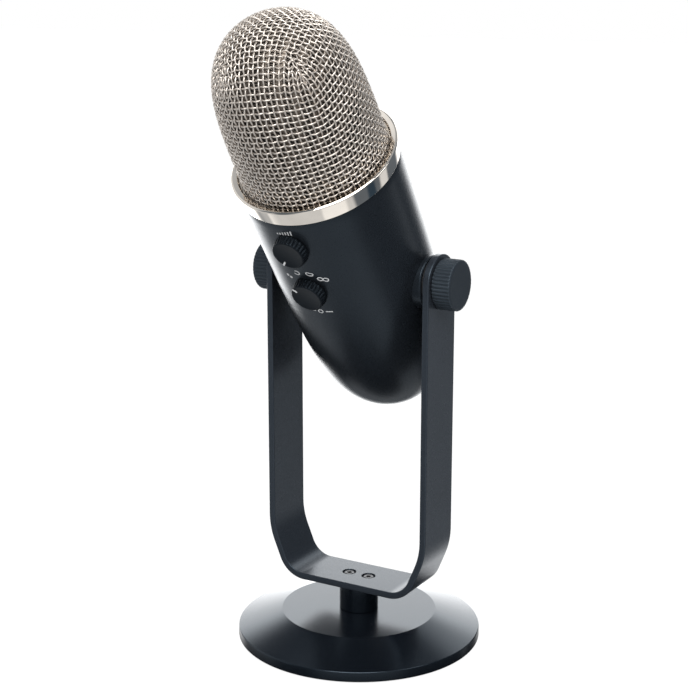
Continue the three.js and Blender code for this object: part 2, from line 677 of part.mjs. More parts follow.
const plateHoles = [
  rod(INSERT_RADIUS + GAP, BODY_END - 1, BOTTOM_PLATE_TOP + 1, MEDIUM_ROUND),
  moved(usbBlock(GAP, BODY_END - 1, BOTTOM_PLATE_TOP + 1), 0, -PORT_OFFSET, 0),
  moved(rod(JACK_RADIUS + GAP, BODY_END - 1, BOTTOM_PLATE_TOP + 1), 0, PORT_OFFSET, 0),
  ...[-1, 1].flatMap((side) => [
    moved(rod(BOTTOM_SCREW_RADIUS + GAP, BODY_END - 1, BOTTOM_PLATE_TOP + 1), side * BOTTOM_SCREW_X, 0, 0),
    moved(rod(BOTTOM_SCREW_HEAD + GAP, BODY_END - 1, BODY_END + 1.8), side * BOTTOM_SCREW_X, 0, 0),
  ]),
];
const bottomDisc = rod(BOTTOM_PLATE_RADIUS, BODY_END, BOTTOM_PLATE_TOP, MEDIUM_ROUND);
place(microphone, "bottom_plate", cut(bottomDisc, ...plateHoles), SATIN_BLACK);

for (const [side, sign] of [["right", 1], ["left", -1]]) {
  const screw = capScrew(BOTTOM_SCREW_HEAD, 1.4, BOTTOM_SCREW_RADIUS, BODY_END + 0.2, BOTTOM_SCREW_TIP);
  place(microphone, `bottom_screw_${side}`, screw, DARK_SCREW).position.x = sign * BOTTOM_SCREW_X;
  const deckScrew = capScrew(DECK_SCREW_HEAD, 1.8, DECK_SCREW_RADIUS, DECK_HIGH + 1.8, FLANGE_LOW + 0.4);
  place(microphone, `deck_screw_${side}`, deckScrew, STEEL).position.x = sign * DECK_SCREW_X;
}

const INSERT_TOP = -53;
const insertLow = BODY_END + 0.1;
const insertOutline = [
  [INSERT_BORE, insertLow],
  [INSERT_RADIUS, insertLow],
  [INSERT_RADIUS, BOTTOM_PLATE_TOP + GAP],
  [INSERT_FLANGE_RADIUS, BOTTOM_PLATE_TOP + GAP],
  [INSERT_FLANGE_RADIUS, BOTTOM_PLATE_TOP + 2.3],
  [INSERT_RADIUS, BOTTOM_PLATE_TOP + 2.3],
  [INSERT_RADIUS, INSERT_TOP],
  [INSERT_BORE, INSERT_TOP],
];
place(microphone, "thread_insert", turned(insertOutline, MEDIUM_ROUND), BRASS);

const BOTTOM_BOARD_RADIUS = 18;
const BOTTOM_BOARD_LOW = -55.3;
const bottomBoardTop = BOTTOM_BOARD_LOW + BOARD_THICKNESS;
const bottomBoard = cut(
  rod(BOTTOM_BOARD_RADIUS, BOTTOM_BOARD_LOW, bottomBoardTop, MEDIUM_ROUND),
  rod(INSERT_RADIUS + GAP, BOTTOM_BOARD_LOW - 1, bottomBoardTop + 1, MEDIUM_ROUND),
  ...[-1, 1].map((side) =>
    moved(rod(STANDOFF_RADIUS + GAP, BOTTOM_BOARD_LOW - 1, bottomBoardTop + 1), side * BOTTOM_SCREW_X, 0, 0),
  ),
);
place(microphone, "bottom_board", bottomBoard, BOARD_GREEN);

const portLow = BODY_END + 0.4;
const portTop = BOTTOM_BOARD_LOW - GAP;
const usbPort = cut(usbBlock(0, portLow, portTop), usbBlock(-0.4, portLow - 1, portLow + 6));
place(microphone, "usb_port", usbPort, STEEL).position.y = -PORT_OFFSET;
const jackBody = join(
  rod(JACK_RADIUS, portLow, portTop - 3),
  block(-3.4, 3.4, -2, 3.4, portTop - 4, portTop),
);
const jack = cut(jackBody, rod(JACK_BORE, portLow - 1, portTop - 1.4));
place(microphone, "headphone_jack", jack, KNOB_BLACK).position.y = PORT_OFFSET;

// ---------------------------------------------------------------- capsules

const deckHoles = [-1, 1].map((side) =>
  moved(rod(DECK_SCREW_RADIUS + GAP, DECK_LOW - 1, DECK_HIGH + 1), side * DECK_SCREW_X, 0, 0),
);
const deck = cut(sleeve(DECK_RADIUS, LEAD_PASS_RADIUS, DECK_LOW, DECK_HIGH), ...deckHoles);
place(microphone, "head_deck", deck, GREY_PLASTIC);

const MOUNT_RADIUS = 11;
const SHOCK_MOUNT_HEIGHT = 3;
const shockLow = DECK_HIGH + GAP;
const shockMount = sleeve(MOUNT_RADIUS, LEAD_PASS_RADIUS, shockLow, shockLow + SHOCK_MOUNT_HEIGHT);
place(microphone, "shock_mount", shockMount, RUBBER);

const mountLow = shockLow + SHOCK_MOUNT_HEIGHT + GAP;
const stem = rod(STEM_INRADIUS * 2, mountLow + 1, STEM_TOP, 3).rotateZ(Math.PI); // a flat faces each capsule
const mountFoot = rod(MOUNT_RADIUS, mountLow, mountLow + 2, MEDIUM_ROUND);
const capsuleMount = cut(join(stem, mountFoot), rod(LEAD_RADIUS * 2, mountLow - 1, STEM_TOP + 1));
place(microphone, "capsule_mount", capsuleMount, GREY_PLASTIC);

const capsuleBack = STEM_INRADIUS + GAP;
const capsuleOutline = [
  [0, capsuleBack],
  [CAPSULE_RADIUS, capsuleBack],
  [CAPSULE_RADIUS, capsuleBack + 5.6],
  [CAPSULE_RADIUS - 1.2, capsuleBack + 6.4],
  [CAPSULE_RADIUS - 1.2, capsuleBack + 6],
  [0, capsuleBack + 6],
];
const THIRD = (Math.PI * 2) / 3;
for (const [name, turn] of [["capsule_front", 0], ["capsule_right", THIRD], ["capsule_left", -THIRD]]) {
  const capsule = place(panel(microphone, turn), name, turned(capsuleOutline, MEDIUM_ROUND), BRASS);
  capsule.position.y = CAPSULE_PLACE;
}

const CAPSULE_BOARD_RADIUS = 8.5;
const capsuleBoardLow = STEM_TOP + GAP;
const capsuleBoardTop = capsuleBoardLow + BOARD_THICKNESS;
const capsuleBoard = rod(CAPSULE_BOARD_RADIUS, capsuleBoardLow, capsuleBoardTop, MEDIUM_ROUND);
place(microphone, "capsule_board", capsuleBoard, BOARD_GREEN);

// The capsule lead drops through the stem and the deck and bends over to lie against the main board.
const leadPath = new THREE.CatmullRomCurve3([
  new THREE.Vector3(0, 0, STEM_TOP),
  new THREE.Vector3(0, 0, 75),
  new THREE.Vector3(0, 0, DECK_HIGH),
  new THREE.Vector3(0, 2.4, 50),
  new THREE.Vector3(0, 2.4, 40),
]);
const leadSection = new THREE.Shape().absarc(0, 0, LEAD_RADIUS, 0, Math.PI * 2);
const lead = new THREE.ExtrudeGeometry(leadSection, { steps: 14, curveSegments: 4, extrudePath: leadPath });
place(microphone, "capsule_lead", geometryOf(solidOf(lead)), CABLE_GREY);

export default assembly;
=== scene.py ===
"""A desktop microphone: a woven-grille condenser microphone in a strap fork on a round cast base.

Lengths are millimetres. Pieces are built in the frame that suits them (the world, the tilting microphone, or
one side panel of it) and scaled to metres when they are installed.
"""

import json
from math import atan2, cos, pi, radians, sin, tan, tau

import bmesh
import bpy
import numpy as np
from mathutils import Matrix, Vector


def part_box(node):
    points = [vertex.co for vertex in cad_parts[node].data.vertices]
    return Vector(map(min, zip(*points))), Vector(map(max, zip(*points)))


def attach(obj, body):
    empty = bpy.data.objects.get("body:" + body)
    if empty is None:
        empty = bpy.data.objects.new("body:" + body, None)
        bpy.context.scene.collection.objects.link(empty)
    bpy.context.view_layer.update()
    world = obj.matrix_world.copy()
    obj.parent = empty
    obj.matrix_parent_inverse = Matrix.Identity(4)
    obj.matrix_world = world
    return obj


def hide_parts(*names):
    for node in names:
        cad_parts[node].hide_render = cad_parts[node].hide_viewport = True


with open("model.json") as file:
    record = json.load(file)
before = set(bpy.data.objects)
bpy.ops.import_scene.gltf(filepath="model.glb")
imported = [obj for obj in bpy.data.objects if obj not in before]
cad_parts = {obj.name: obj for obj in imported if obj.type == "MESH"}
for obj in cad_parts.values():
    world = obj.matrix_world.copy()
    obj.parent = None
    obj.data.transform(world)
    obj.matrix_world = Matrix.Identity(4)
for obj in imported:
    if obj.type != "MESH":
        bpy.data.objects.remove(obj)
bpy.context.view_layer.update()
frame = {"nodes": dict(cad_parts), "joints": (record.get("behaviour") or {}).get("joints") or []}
joints = {joint["name"]: joint for joint in frame["joints"]}

# ------ sizes taken from the frame

MM = 0.001


def half_width(node):
    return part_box(node)[1].x / MM


def near_end(node):
    """Where a piece on the right starts, seen from the middle."""
    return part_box(node)[0].x / MM


def bottom(node):
    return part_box(node)[0].z / MM


def top(node):
    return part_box(node)[1].z / MM


PIVOT = Vector(joints["mic_tilt"]["pos_m"]) / MM
REAR = Vector(joints["gain_turn"]["axis"])
TILT = atan2(REAR.z, REAR.y)

BASE_RADIUS = half_width("base_casting")
BASE_FOOT = bottom("base_casting")
TABLE_HEIGHT = top("base_casting")
PAD_RADIUS = half_width("base_pad")
PAD_THICKNESS = top("base_pad")
POST_RADIUS = half_width("stand_post")
FLOOR_UNDER = top("stand_post")
FORK_HALF_WIDTH = half_width("fork_bracket")
HALF_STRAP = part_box("fork_bracket")[1].y / MM
KNOB_START = near_end("thumb_knob_right")
KNOB_END = half_width("thumb_knob_right")
WASHER_START = near_end("friction_washer_right")
WASHER_END = half_width("friction_washer_right")
BOSS_END = half_width("pivot_boss_right")
STUD_START = near_end("thumb_stud_right")
STUD_END = half_width("thumb_stud_right")
SCREW_X = (near_end("fork_screw_right") + half_width("fork_screw_right")) / 2
SCREW_TIP = bottom("fork_screw_right")
SCREW_TOP = top("fork_screw_right")

# ------ sizes shared with the design

GAP = 0.3
RIM_HEIGHT = 5.15
TABLE_RADIUS = 35
PAD_SEAT = PAD_THICKNESS + GAP
BOLT_BORE = 3.3
COUNTERBORE_RADIUS = 8
COUNTERBORE_TOP = 7.2

STRAP_THICKNESS = 3
FLOOR_TOP = FLOOR_UNDER + STRAP_THICKNESS
UPPER_BEND_RADIUS = 34
LOWER_BEND_RADIUS = 13.5
BEND_SPLAY = radians(22.5)
BEND_STRAIGHT = 8.3
STRAP_EDGE = 0.5  # rounding of the strap's long edges
SCREW_HEAD = 2.8
SCREW_SHANK = 1.4
HEAD_SEAT = 1.8

BOSS_RADIUS = 11.8
BOSS_DEPTH = 7  # how far the boss reaches into the body
BOSS_NECK_RADIUS = 6
BOSS_NECK_START = 19.9
WASHER_RADIUS = 11
STUD_RADIUS = 2.5
THREAD_PITCH = 0.8
THREAD_DEPTH = 0.4
THUMB_KNOB_RADIUS = 11

BODY_RADIUS = 34.35
BODY_TOP = 60.4
BODY_SPAN = 132.2
BODY_TAPER = 0.049
BODY_POWER = 6.53
BODY_ROOT = 1.984
BODY_FLAT = 0.953
BODY_WALL = 2.2
BODY_END = BODY_TOP - BODY_FLAT * BODY_SPAN
MOUTH_RADIUS = 15.3

RING_TOP = 68
RING_FOOT_RADIUS = 34.65
RING_CROWN_RADIUS = 35.6
RING_BORE = 32.3
SKIRT_BORE = 30.4
SKIRT_END = 54.5

GRILLE_RADIUS = 31.7
GRILLE_BASE = 68.1
GRILLE_RISE = 64.7
GRILLE_TAPER = 0.04
GRILLE_POWER = 4.225
GRILLE_ROOT = 2.292
GRILLE_FOOT = 62.9
WIRE_RADIUS = 0.33
CLOTH_INSET = 2 * WIRE_RADIUS
CLOTH_FOOT = GRILLE_FOOT + 0.6
CLOTH_ACROSS = 22  # cells along each side of the square patch on top of the grille
CELLS_ROUND = 4 * CLOTH_ACROSS
WEAVE_TURN = radians(10)  # the cloth's own direction about the axis
LINER_INSET = 1.65
LINER_THICKNESS = 0.45
FOAM_INSET = 2.5
FOAM_THICKNESS = 3.8

GAIN_PLACE = 47.4  # heights along the microphone's own axis
PATTERN_PLACE = 22.9
VOLUME_PLACE = 47.4
LAMP_PLACE = 36
MUTE_PLACE = 24
KNOB_RADIUS = 7.6
KNOB_FACE_RADIUS = 7.1
KNOB_HEIGHT = 4
SHAFT_RADIUS = 1.95
SHAFT_START = 24  # distances from the microphone's axis
SHAFT_HOLE_RADIUS = 3.6
GAIN_REST_ANGLE = radians(-145)
PATTERN_REST_ANGLE = radians(-48)
PATTERN_STEP = radians(32)
MUTE_RADIUS = 5
MUTE_FLANGE_RADIUS = 6.2
MUTE_START = 27.3
MUTE_SHOULDER = 30.3
LAMP_RADIUS = 1.2
LAMP_FLANGE_RADIUS = 2.2
LAMP_START = 21.8
LAMP_SHOULDER = 24.8

PLATE_TOP = BODY_END + 3
PLATE_RADIUS = 15
THREAD_BORE = 6.9
PORT_OFFSET = 11.3
JACK_HOLE_RADIUS = 3.5
PLATE_SCREW_TOP = -57
PLATE_SCREW_HEAD = 2.3

# ------ frames

WORLD = Matrix.Identity(4)
PIVOT_FRAME = Matrix.Translation(PIVOT)
MICROPHONE = PIVOT_FRAME @ Matrix.Rotation(TILT, 4, "X")


def panel(turn):
    """A frame whose Z points out of one side: turn 0 faces -Y, a quarter turn +X, a half turn +Y."""
    return Matrix.Rotation(turn, 4, "Z") @ Matrix.Rotation(pi / 2, 4, "X")


RIGHT_SIDE = panel(pi / 2)
LEFT_SIDE = panel(-pi / 2)
FRONT_SIDE = panel(0)
REAR_SIDE = panel(pi)

# ------ mesh building


def linked(name, data):
    """A new object in the scene that holds a mesh, a camera or a lamp."""
    piece = bpy.data.objects.new(name, data)
    bpy.context.scene.collection.objects.link(piece)
    return piece


def solid(vertices, faces, weld=True):
    """A loose object with its faces pointing out, and its vertices welded unless weld is off."""
    mesh = bpy.data.meshes.new("solid")
    mesh.from_pydata([tuple(v) for v in vertices], [], faces)
    shape = bmesh.new()
    shape.from_mesh(mesh)
    if weld:
        bmesh.ops.remove_doubles(shape, verts=shape.verts, dist=1e-4)
        bmesh.ops.dissolve_degenerate(shape, edges=shape.edges, dist=1e-5)
    bmesh.ops.recalc_face_normals(shape, faces=shape.faces)
    shape.to_mesh(mesh)
    shape.free()
    return linked("solid", mesh)


def moved(piece, matrix):
    piece.data.transform(matrix)
    return piece


def shifted(piece, x, y, z):
    return moved(piece, Matrix.Translation((x, y, z)))


def merged(*pieces):
    """One object that holds the meshes of several, as separate closed parts."""
    shape = bmesh.new()
    for piece in pieces:
        shape.from_mesh(piece.data)
        bpy.data.objects.remove(piece)
    mesh = bpy.data.meshes.new("merged")
    shape.to_mesh(mesh)
    shape.free()
    return linked("merged", mesh)


def carved(target, *tools):
    """The target with the tools cut out of it."""
    for tool in tools:
        modifier = target.modifiers.new("cut", "BOOLEAN")
        modifier.operation = "DIFFERENCE"
        modifier.solver = "EXACT"
        modifier.object = tool
    seen = target.evaluated_get(bpy.context.evaluated_depsgraph_get())
    result = bpy.data.meshes.new_from_object(seen)
    target.modifiers.clear()
    target.data = result
    for tool in tools:
        bpy.data.objects.remove(tool)
    return target


def rounded(points, closed=False, steps=5):
    """An outline of (x, y) or (x, y, fillet radius) corners, with the fillets drawn as arcs."""
    drawn = []
    for i, point in enumerate(points):
        at_end = not closed and i in (0, len(points) - 1)
        if len(point) == 2 or at_end:
            drawn.append(tuple(point[:2]))
            continue
        corner = Vector(point[:2])
        back = Vector(points[i - 1][:2]) - corner
        ahead = Vector(points[(i + 1) % len(points)][:2]) - corner
        half = back.angle(ahead) / 2
        reach = min(point[2] / tan(half), back.length * 0.49, ahead.length * 0.49)
        middle = (back.normalized() + ahead.normalized()).normalized()
        centre = corner + middle * (reach / cos(half))
        first = corner + back.normalized() * reach - centre
        last = corner + ahead.normalized() * reach - centre
        sweep = first.angle(last)
        for k in range(steps + 1):
            share = k / steps
            arm = first * sin((1 - share) * sweep) + last * sin(share * sweep)
            drawn.append(tuple(centre + arm / sin(sweep)))
    return drawn


def turned(*corners, sides=64, closed=False, steps=5, ripple=None):
    """A solid turned about Z on a rounded outline, which closes on itself if it stays off the axis.
    ripple(radius, height, angle) gives the radius where the piece isn't round."""
    outline = rounded(corners, closed, steps)
    vertices = []
    rings = []
    for radius, height in outline:
        if radius < 1e-6:
            rings.append([len(vertices)] * sides)
            vertices.append((0, 0, height))
            continue
        rings.append([len(vertices) + k for k in range(sides)])
        for k in range(sides):
            angle = tau * k / sides
            reach = ripple(radius, height, angle) if ripple else radius
            vertices.append((reach * sin(angle), reach * cos(angle), height))
    pairs = list(zip(rings, rings[1:]))
    if outline[0][0] > 1e-6 or outline[-1][0] > 1e-6:
        pairs.append((rings[-1], rings[0]))
    faces = []
    for lower, upper in pairs:
        for k in range(sides):
            n = (k + 1) % sides
            face = list(dict.fromkeys((lower[k], lower[n], upper[n], upper[k])))
            if len(face) > 2:
                faces.append(face)
    return solid(vertices, faces)


def rod(radius, low, high, sides=48):
    return turned((0, low), (radius, low), (radius, high), (0, high), sides=sides)


def sleeve(outer, inner, low, high, sides=96, edge=0.15):
    outline = [(inner, low, edge), (outer, low, edge), (outer, high, edge), (inner, high, edge)]
    return turned(*outline, sides=sides, closed=True, steps=3)


def strip(here, there, count, closed=True):
    """The faces between two rows of count vertices, which start at numbers here and there."""
    ends = [(k, (k + 1) % count) for k in range(count if closed else count - 1)]
    return [[here + k, here + n, there + n, there + k] for k, n in ends]


def tube_faces(first, sides, count, closed):
    """The faces of a tube of count rings of vertices, numbered from first, with a cap on each open end."""
    faces = []
    for k in range(count if closed else count - 1):
        faces += strip(first + k * sides, first + (k + 1) % count * sides, sides)
    if not closed:
        last = first + (count - 1) * sides
        faces += [list(range(first, first + sides)), list(range(last, last + sides))]
    return faces


def slab(lower, upper):
    """A solid between two like closed outlines of (x, y, z) points."""
    count = len(lower)
    faces = [list(range(count)), list(range(count, 2 * count)), *strip(0, count, count)]
    return solid([*lower, *upper], faces)


def prism(outline, low, high):
    """A straight prism on a closed (x, y) outline."""
    return slab([(x, y, low) for x, y in outline], [(x, y, high) for x, y in outline])


SQUARE = [(-1, -1), (1, -1), (1, 1), (-1, 1)]


def polygon(radius, corners):
    angles = [tau * k / corners for k in range(corners)]
    return [(radius * sin(angle), radius * cos(angle)) for angle in angles]


# ------ installing pieces


def install(piece, name, place, body, finish, *stands_for, smooth=35, weighted=True):
    """Scales a loose piece to metres in its frame, gives it a finish, and lets it ride on a body."""
    piece.data.transform(Matrix.Scale(MM, 4) @ place)
    piece.name = name
    piece.data.name = name
    piece.data.materials.clear()
    piece.data.materials.append(FINISHES[finish])
    for face in piece.data.polygons:
        face.use_smooth = True
        face.material_index = 0
    piece.data.set_sharp_from_angle(angle=radians(smooth))
    if weighted:
        normals = piece.modifiers.new("normals", "WEIGHTED_NORMAL")
        normals.keep_sharp = True
    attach(piece, body)
    if stands_for:
        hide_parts(*stands_for)


def on_stand(piece, name, finish, *stands_for, **shading):
    install(piece, name, WORLD, "stand", finish, *stands_for, **shading)


def on_microphone(piece, name, finish, *stands_for, **shading):
    install(piece, name, MICROPHONE, "microphone", finish, *stands_for, **shading)


# ------ finishes


class Nodes:
    """Adds shader nodes to one node tree."""

    def __init__(self, tree):
        self.tree = tree

    def feed(self, socket, value):
        """Links a socket to another, or gives it a plain value."""
        if isinstance(value, bpy.types.NodeSocket):
            self.tree.links.new(value, socket)
        elif socket.type == "RGBA":
            socket.default_value = (*value[:3], 1)
        else:
            socket.default_value = value

    def add(self, kind, inputs=None, **settings):
        node = self.tree.nodes.new("ShaderNode" + kind)
        for key, value in settings.items():
            setattr(node, key, value)
        for key, value in (inputs or {}).items():
            self.feed(node.inputs[key], value)
        return node

    def math(self, operation, first, second=0.0, third=0.0):
        return self.add("Math", {0: first, 1: second, 2: third}, operation=operation).outputs[0]

    def average(self, first, second, share):
        """Two values mixed, with this share of the first."""
        return self.math("ADD", self.math("MULTIPLY", first, share), self.math("MULTIPLY", second, 1 - share))

    def spread(self, value, low, high, from_low=0.3, from_high=0.7, kind="LINEAR"):
        inputs = {"Value": value, "From Min": from_low, "From Max": from_high, "To Min": low, "To Max": high}
        return self.add("MapRange", inputs, interpolation_type=kind).outputs["Result"]

    def vector(self, operation, first, second=(0, 0, 0)):
        """A vector operation's node: outputs[0] holds a vector result, outputs[1] a plain number."""
        return self.add("VectorMath", {0: first, 1: second}, operation=operation).outputs

    def grey(self, value):
        return self.add("CombineXYZ", {0: value, 1: value, 2: value}).outputs[0]


class Finish(Nodes):
    """A Principled material built node by node. Texture coordinates are in millimetres."""

    def __init__(self, name="finish"):
        self.material = bpy.data.materials.new(name)
        self.material.use_nodes = True
        super().__init__(self.material.node_tree)
        self.shader = self.tree.nodes["Principled BSDF"]
        coordinates = self.add("TexCoord")
        self.place = self.vector("MULTIPLY", coordinates.outputs["Object"], (1 / MM, 1 / MM, 1 / MM))[0]

    def noise(self, scale, detail=3.0, place=None):
        inputs = {"Vector": place or self.place, "Scale": scale, "Detail": detail, "Roughness": 0.55}
        return self.add("TexNoise", inputs).outputs["Fac"]

    def cells(self, scale):
        return self.add("TexVoronoi", {"Vector": self.place, "Scale": scale}).outputs["Distance"]

    def blend(self, share, first, second):
        return self.add("Mix", {0: share, 6: first, 7: second}, data_type="RGBA").outputs[2]

    def mottled(self, share, colour, swing):
        """A colour that drifts a little darker and lighter."""
        return self.blend(self.spread(share, 0, 1), shade(colour, 1 - swing), shade(colour, 1 + swing))

    def bump(self, height, depth):
        return self.add("Bump", {"Height": height, "Distance": depth * MM}).outputs["Normal"]

    def set(self, **values):
        for key, value in values.items():
            self.feed(self.shader.inputs[key.replace("_", " ").title().replace("Ior", "IOR")], value)
        return self.material


def shade(colour, factor):
    return tuple(channel * factor for channel in colour)


def coated(colour, roughness, grain=3.0, depth=0.012, mottle=0.12, ior=1.5, swing=0.05, tint=(1, 1, 1)):
    """Powder coat, moulded plastic or rubber: a fine grain in bump and roughness, and a faint mottle."""
    finish = Finish()
    fine = finish.noise(grain, detail=4)
    coarse = finish.noise(grain * 0.31, detail=2)
    broad = finish.noise(0.045, detail=2)
    texture = finish.average(fine, coarse, 0.65)
    return finish.set(
        base_color=finish.mottled(finish.average(fine, broad, 0.4), colour, mottle),
        roughness=finish.spread(texture, roughness - swing, roughness + swing),
        specular_tint=tint,
        ior=ior,
        normal=finish.bump(texture, depth),
    )


def metal(colour, roughness, grain=2.0, depth=0.004, mottle=0.06, stretch=(1, 1, 1), share=1.0):
    """Plated or machined metal: fine drawn lines along one direction, with a faint broad tint."""
    finish = Finish()
    lines = finish.noise(grain, detail=4, place=finish.vector("MULTIPLY", finish.place, stretch)[0])
    return finish.set(
        base_color=finish.mottled(finish.noise(0.09, detail=2), colour, mottle),
        roughness=finish.spread(lines, roughness * 0.75, roughness * 1.25),
        metallic=share,
        normal=finish.bump(lines, depth),
    )


def foam(colour):
    """Open-cell foam: round pores of two sizes, with painted shade inside them."""
    finish = Finish()
    pores = finish.average(finish.cells(1.4), finish.cells(3.1), 0.6)
    pore_shade = finish.spread(pores, 0, 1, 0.1, 0.6)
    return finish.set(
        # painted shade: the pores are darkened, and the cell walls between them are a little lighter than the
        # foam's colour
        base_color=finish.blend(pore_shade, shade(colour, 0.35), shade(colour, 1.2)),
        roughness=0.95,
        normal=finish.bump(pores, 0.25),
    )


def gauze(wire, hole, pitch=0.85):
    """A fine plain-woven gauze, drawn by two crossed waves that pass over and under each other. Its holes are
    painted shade.
    """
    finish = Finish()
    turn = {"Vector": finish.place, "Angle": TILT}
    turned_place = finish.add("VectorRotate", turn, rotation_type="X_AXIS").outputs[0]
    parts = finish.add("SeparateXYZ", {0: turned_place}).outputs
    azimuth = finish.math("ARCTAN2", parts["X"], parts["Y"])
    around = finish.math("MULTIPLY", azimuth, GRILLE_RADIUS - LINER_INSET)
    waves = []
    for socket in (around, parts["Z"]):
        phase = finish.math("MULTIPLY", socket, tau / pitch)
        waves.append(finish.math("MULTIPLY_ADD", finish.math("COSINE", phase), 0.5, 0.5))
    weave = finish.math("MAXIMUM", waves[0], waves[1])
    share = finish.spread(weave, 0, 1, 0.45, 0.75)
    stain = finish.spread(finish.noise(0.35, detail=3), 0.75, 1.2)
    return finish.set(
        # the hole colour is painted shade: near black where the openings would show the shadowed inside
        base_color=finish.blend(share, hole, finish.vector("MULTIPLY", wire, stain)[0]),
        roughness=finish.spread(weave, 0.85, 0.38, 0.4, 0.8),
        metallic=finish.math("MULTIPLY", share, 0.85),
        normal=finish.bump(weave, 0.18),
    )


def circuit_board(colour):
    """Solder mask over copper: pale tracks and pads under a green varnish."""
    finish = Finish()
    bricks = {"Vector": finish.place, "Scale": 0.35, "Mortar Size": 0.03, "Color1": (0, 0, 0)}
    tracks = finish.add("TexBrick", bricks).outputs["Fac"]
    pads = finish.math("LESS_THAN", finish.cells(0.4), 0.16)
    masked = finish.blend(tracks, colour, shade(colour, 2.2))
    return finish.set(
        base_color=finish.blend(pads, masked, (0.62, 0.55, 0.32)),
        roughness=finish.spread(finish.noise(1.5), 0.3, 0.45),
        metallic=finish.math("MULTIPLY", pads, 0.8),
        normal=finish.bump(finish.math("ADD", tracks, pads), 0.03),
    )


BLUE = (0.65, 0.83, 1.0)  # the black coats reflect a little blue
FINISHES = {
    "satin_black": coated((0.0085, 0.0104, 0.0132), 0.3, grain=3.4, depth=0.005, ior=1.4, tint=BLUE),
    "cast_black": coated((0.0035, 0.0048, 0.007), 0.21, grain=2.2, depth=0.002, swing=0.03, tint=BLUE),
    "strap_black": coated((0.017, 0.020, 0.025), 0.3, depth=0.005, tint=BLUE),
    "knob_black": coated((0.0035, 0.0045, 0.006), 0.36, grain=2.6, depth=0.010, ior=1.26, tint=BLUE),
    "thumb_black": coated((0.016, 0.0195, 0.024), 0.52, grain=2.6, depth=0.010, ior=1.55, tint=BLUE),
    "rubber_black": coated((0.010, 0.010, 0.011), 0.8, grain=1.6, depth=0.04),
    "chrome_ring": metal((0.89, 0.815, 0.725), 0.06, grain=0.6, depth=0.0012),
    "nickel_mesh": metal((0.66, 0.60, 0.54), 0.44, grain=1.6, depth=0.006, share=0.8),
    "grey_foam": foam((0.06, 0.05, 0.042)),
    "bare_steel": metal((0.46, 0.47, 0.48), 0.3, grain=1.4, depth=0.006, stretch=(1, 1, 0.1)),
    "dark_screw": metal((0.06, 0.062, 0.066), 0.34, grain=2.4, depth=0.006),
    "brass": metal((0.62, 0.44, 0.16), 0.28, grain=1.8, depth=0.006),
    "board_green": circuit_board((0.012, 0.085, 0.04)),
    "grey_plastic": coated((0.10, 0.105, 0.11), 0.5, grain=1.8, depth=0.02),
    "lamp_red": coated((0.45, 0.012, 0.01), 0.16, grain=0.6, depth=0.004),
    "cable_grey": coated((0.16, 0.16, 0.165), 0.6, grain=1.4, depth=0.03),
    "print_white": coated((0.50, 0.51, 0.52), 0.6, grain=5.0, depth=0.01, mottle=0.05),
    # the gauze's second colour is painted shade for the holes between its wires
    "gauze": gauze((0.17, 0.142, 0.117), (0.01, 0.008, 0.006)),
}
for finish_name, material in FINISHES.items():
    material.name = finish_name

# ------ base and post

PAD_RINGS = (22, 30, 38, 46)  # radii of the grooves under the pad
RING_GROOVE = ((-0.9, 0), (-0.5, 0.5), (0.5, 0.5), (0.9, 0))  # one groove, as (across, depth)


def build_base():
    casting = turned(
        (BOLT_BORE, COUNTERBORE_TOP, 0.2),
        (COUNTERBORE_RADIUS, COUNTERBORE_TOP, 0.3),
        (COUNTERBORE_RADIUS, PAD_SEAT, 0.3),
        (PAD_RADIUS + GAP, PAD_SEAT, 0.2),
        (PAD_RADIUS + GAP, BASE_FOOT, 0.2),
        (BASE_RADIUS, BASE_FOOT, 0.5),
        (BASE_RADIUS, RIM_HEIGHT, 0.55),
        (TABLE_RADIUS, TABLE_HEIGHT, 0.35),
        (BOLT_BORE, TABLE_HEIGHT, 0.1),
        sides=288,
        closed=True,
    )
    on_stand(casting, "cast_base", "cast_black", "base_casting", smooth=50)

    grooves = [(radius + across, depth, 0.2) for radius in PAD_RINGS for across, depth in RING_GROOVE]
    edge = [(PAD_RADIUS, 0, 0.3), (PAD_RADIUS, PAD_THICKNESS, 0.3)]
    pad = turned((0, 0), *grooves, *edge, (0, PAD_THICKNESS), sides=200)
    on_stand(pad, "rubber_pad", "rubber_black", "base_pad")

    post = turned(
        (0, TABLE_HEIGHT),
        (POST_RADIUS - 0.25, TABLE_HEIGHT, 0.1),
        (POST_RADIUS, TABLE_HEIGHT + 0.35, 0.2),
        (POST_RADIUS, FLOOR_UNDER, 0.4),
        (0, FLOOR_UNDER),
        sides=128,
    )
    bores = [rod(BOLT_BORE, TABLE_HEIGHT - 1, top("base_bolt") + GAP)]
    for side in (-1, 1):
        bore = rod(SCREW_SHANK + GAP, SCREW_TIP - GAP, FLOOR_UNDER + 1, 24)
        bores.append(shifted(bore, side * SCREW_X, 0, 0))
    on_stand(carved(post, *bores), "round_post", "cast_black", "stand_post")


# ------ fork

ARM_END_STEPS = 40  # steps round the half circle at the end of an arm
SOCKET_RADIUS = 1.25
SOCKET_DEPTH = 1
CUTTER_REACH = 50  # how far to either side the cutter for the stud holes goes


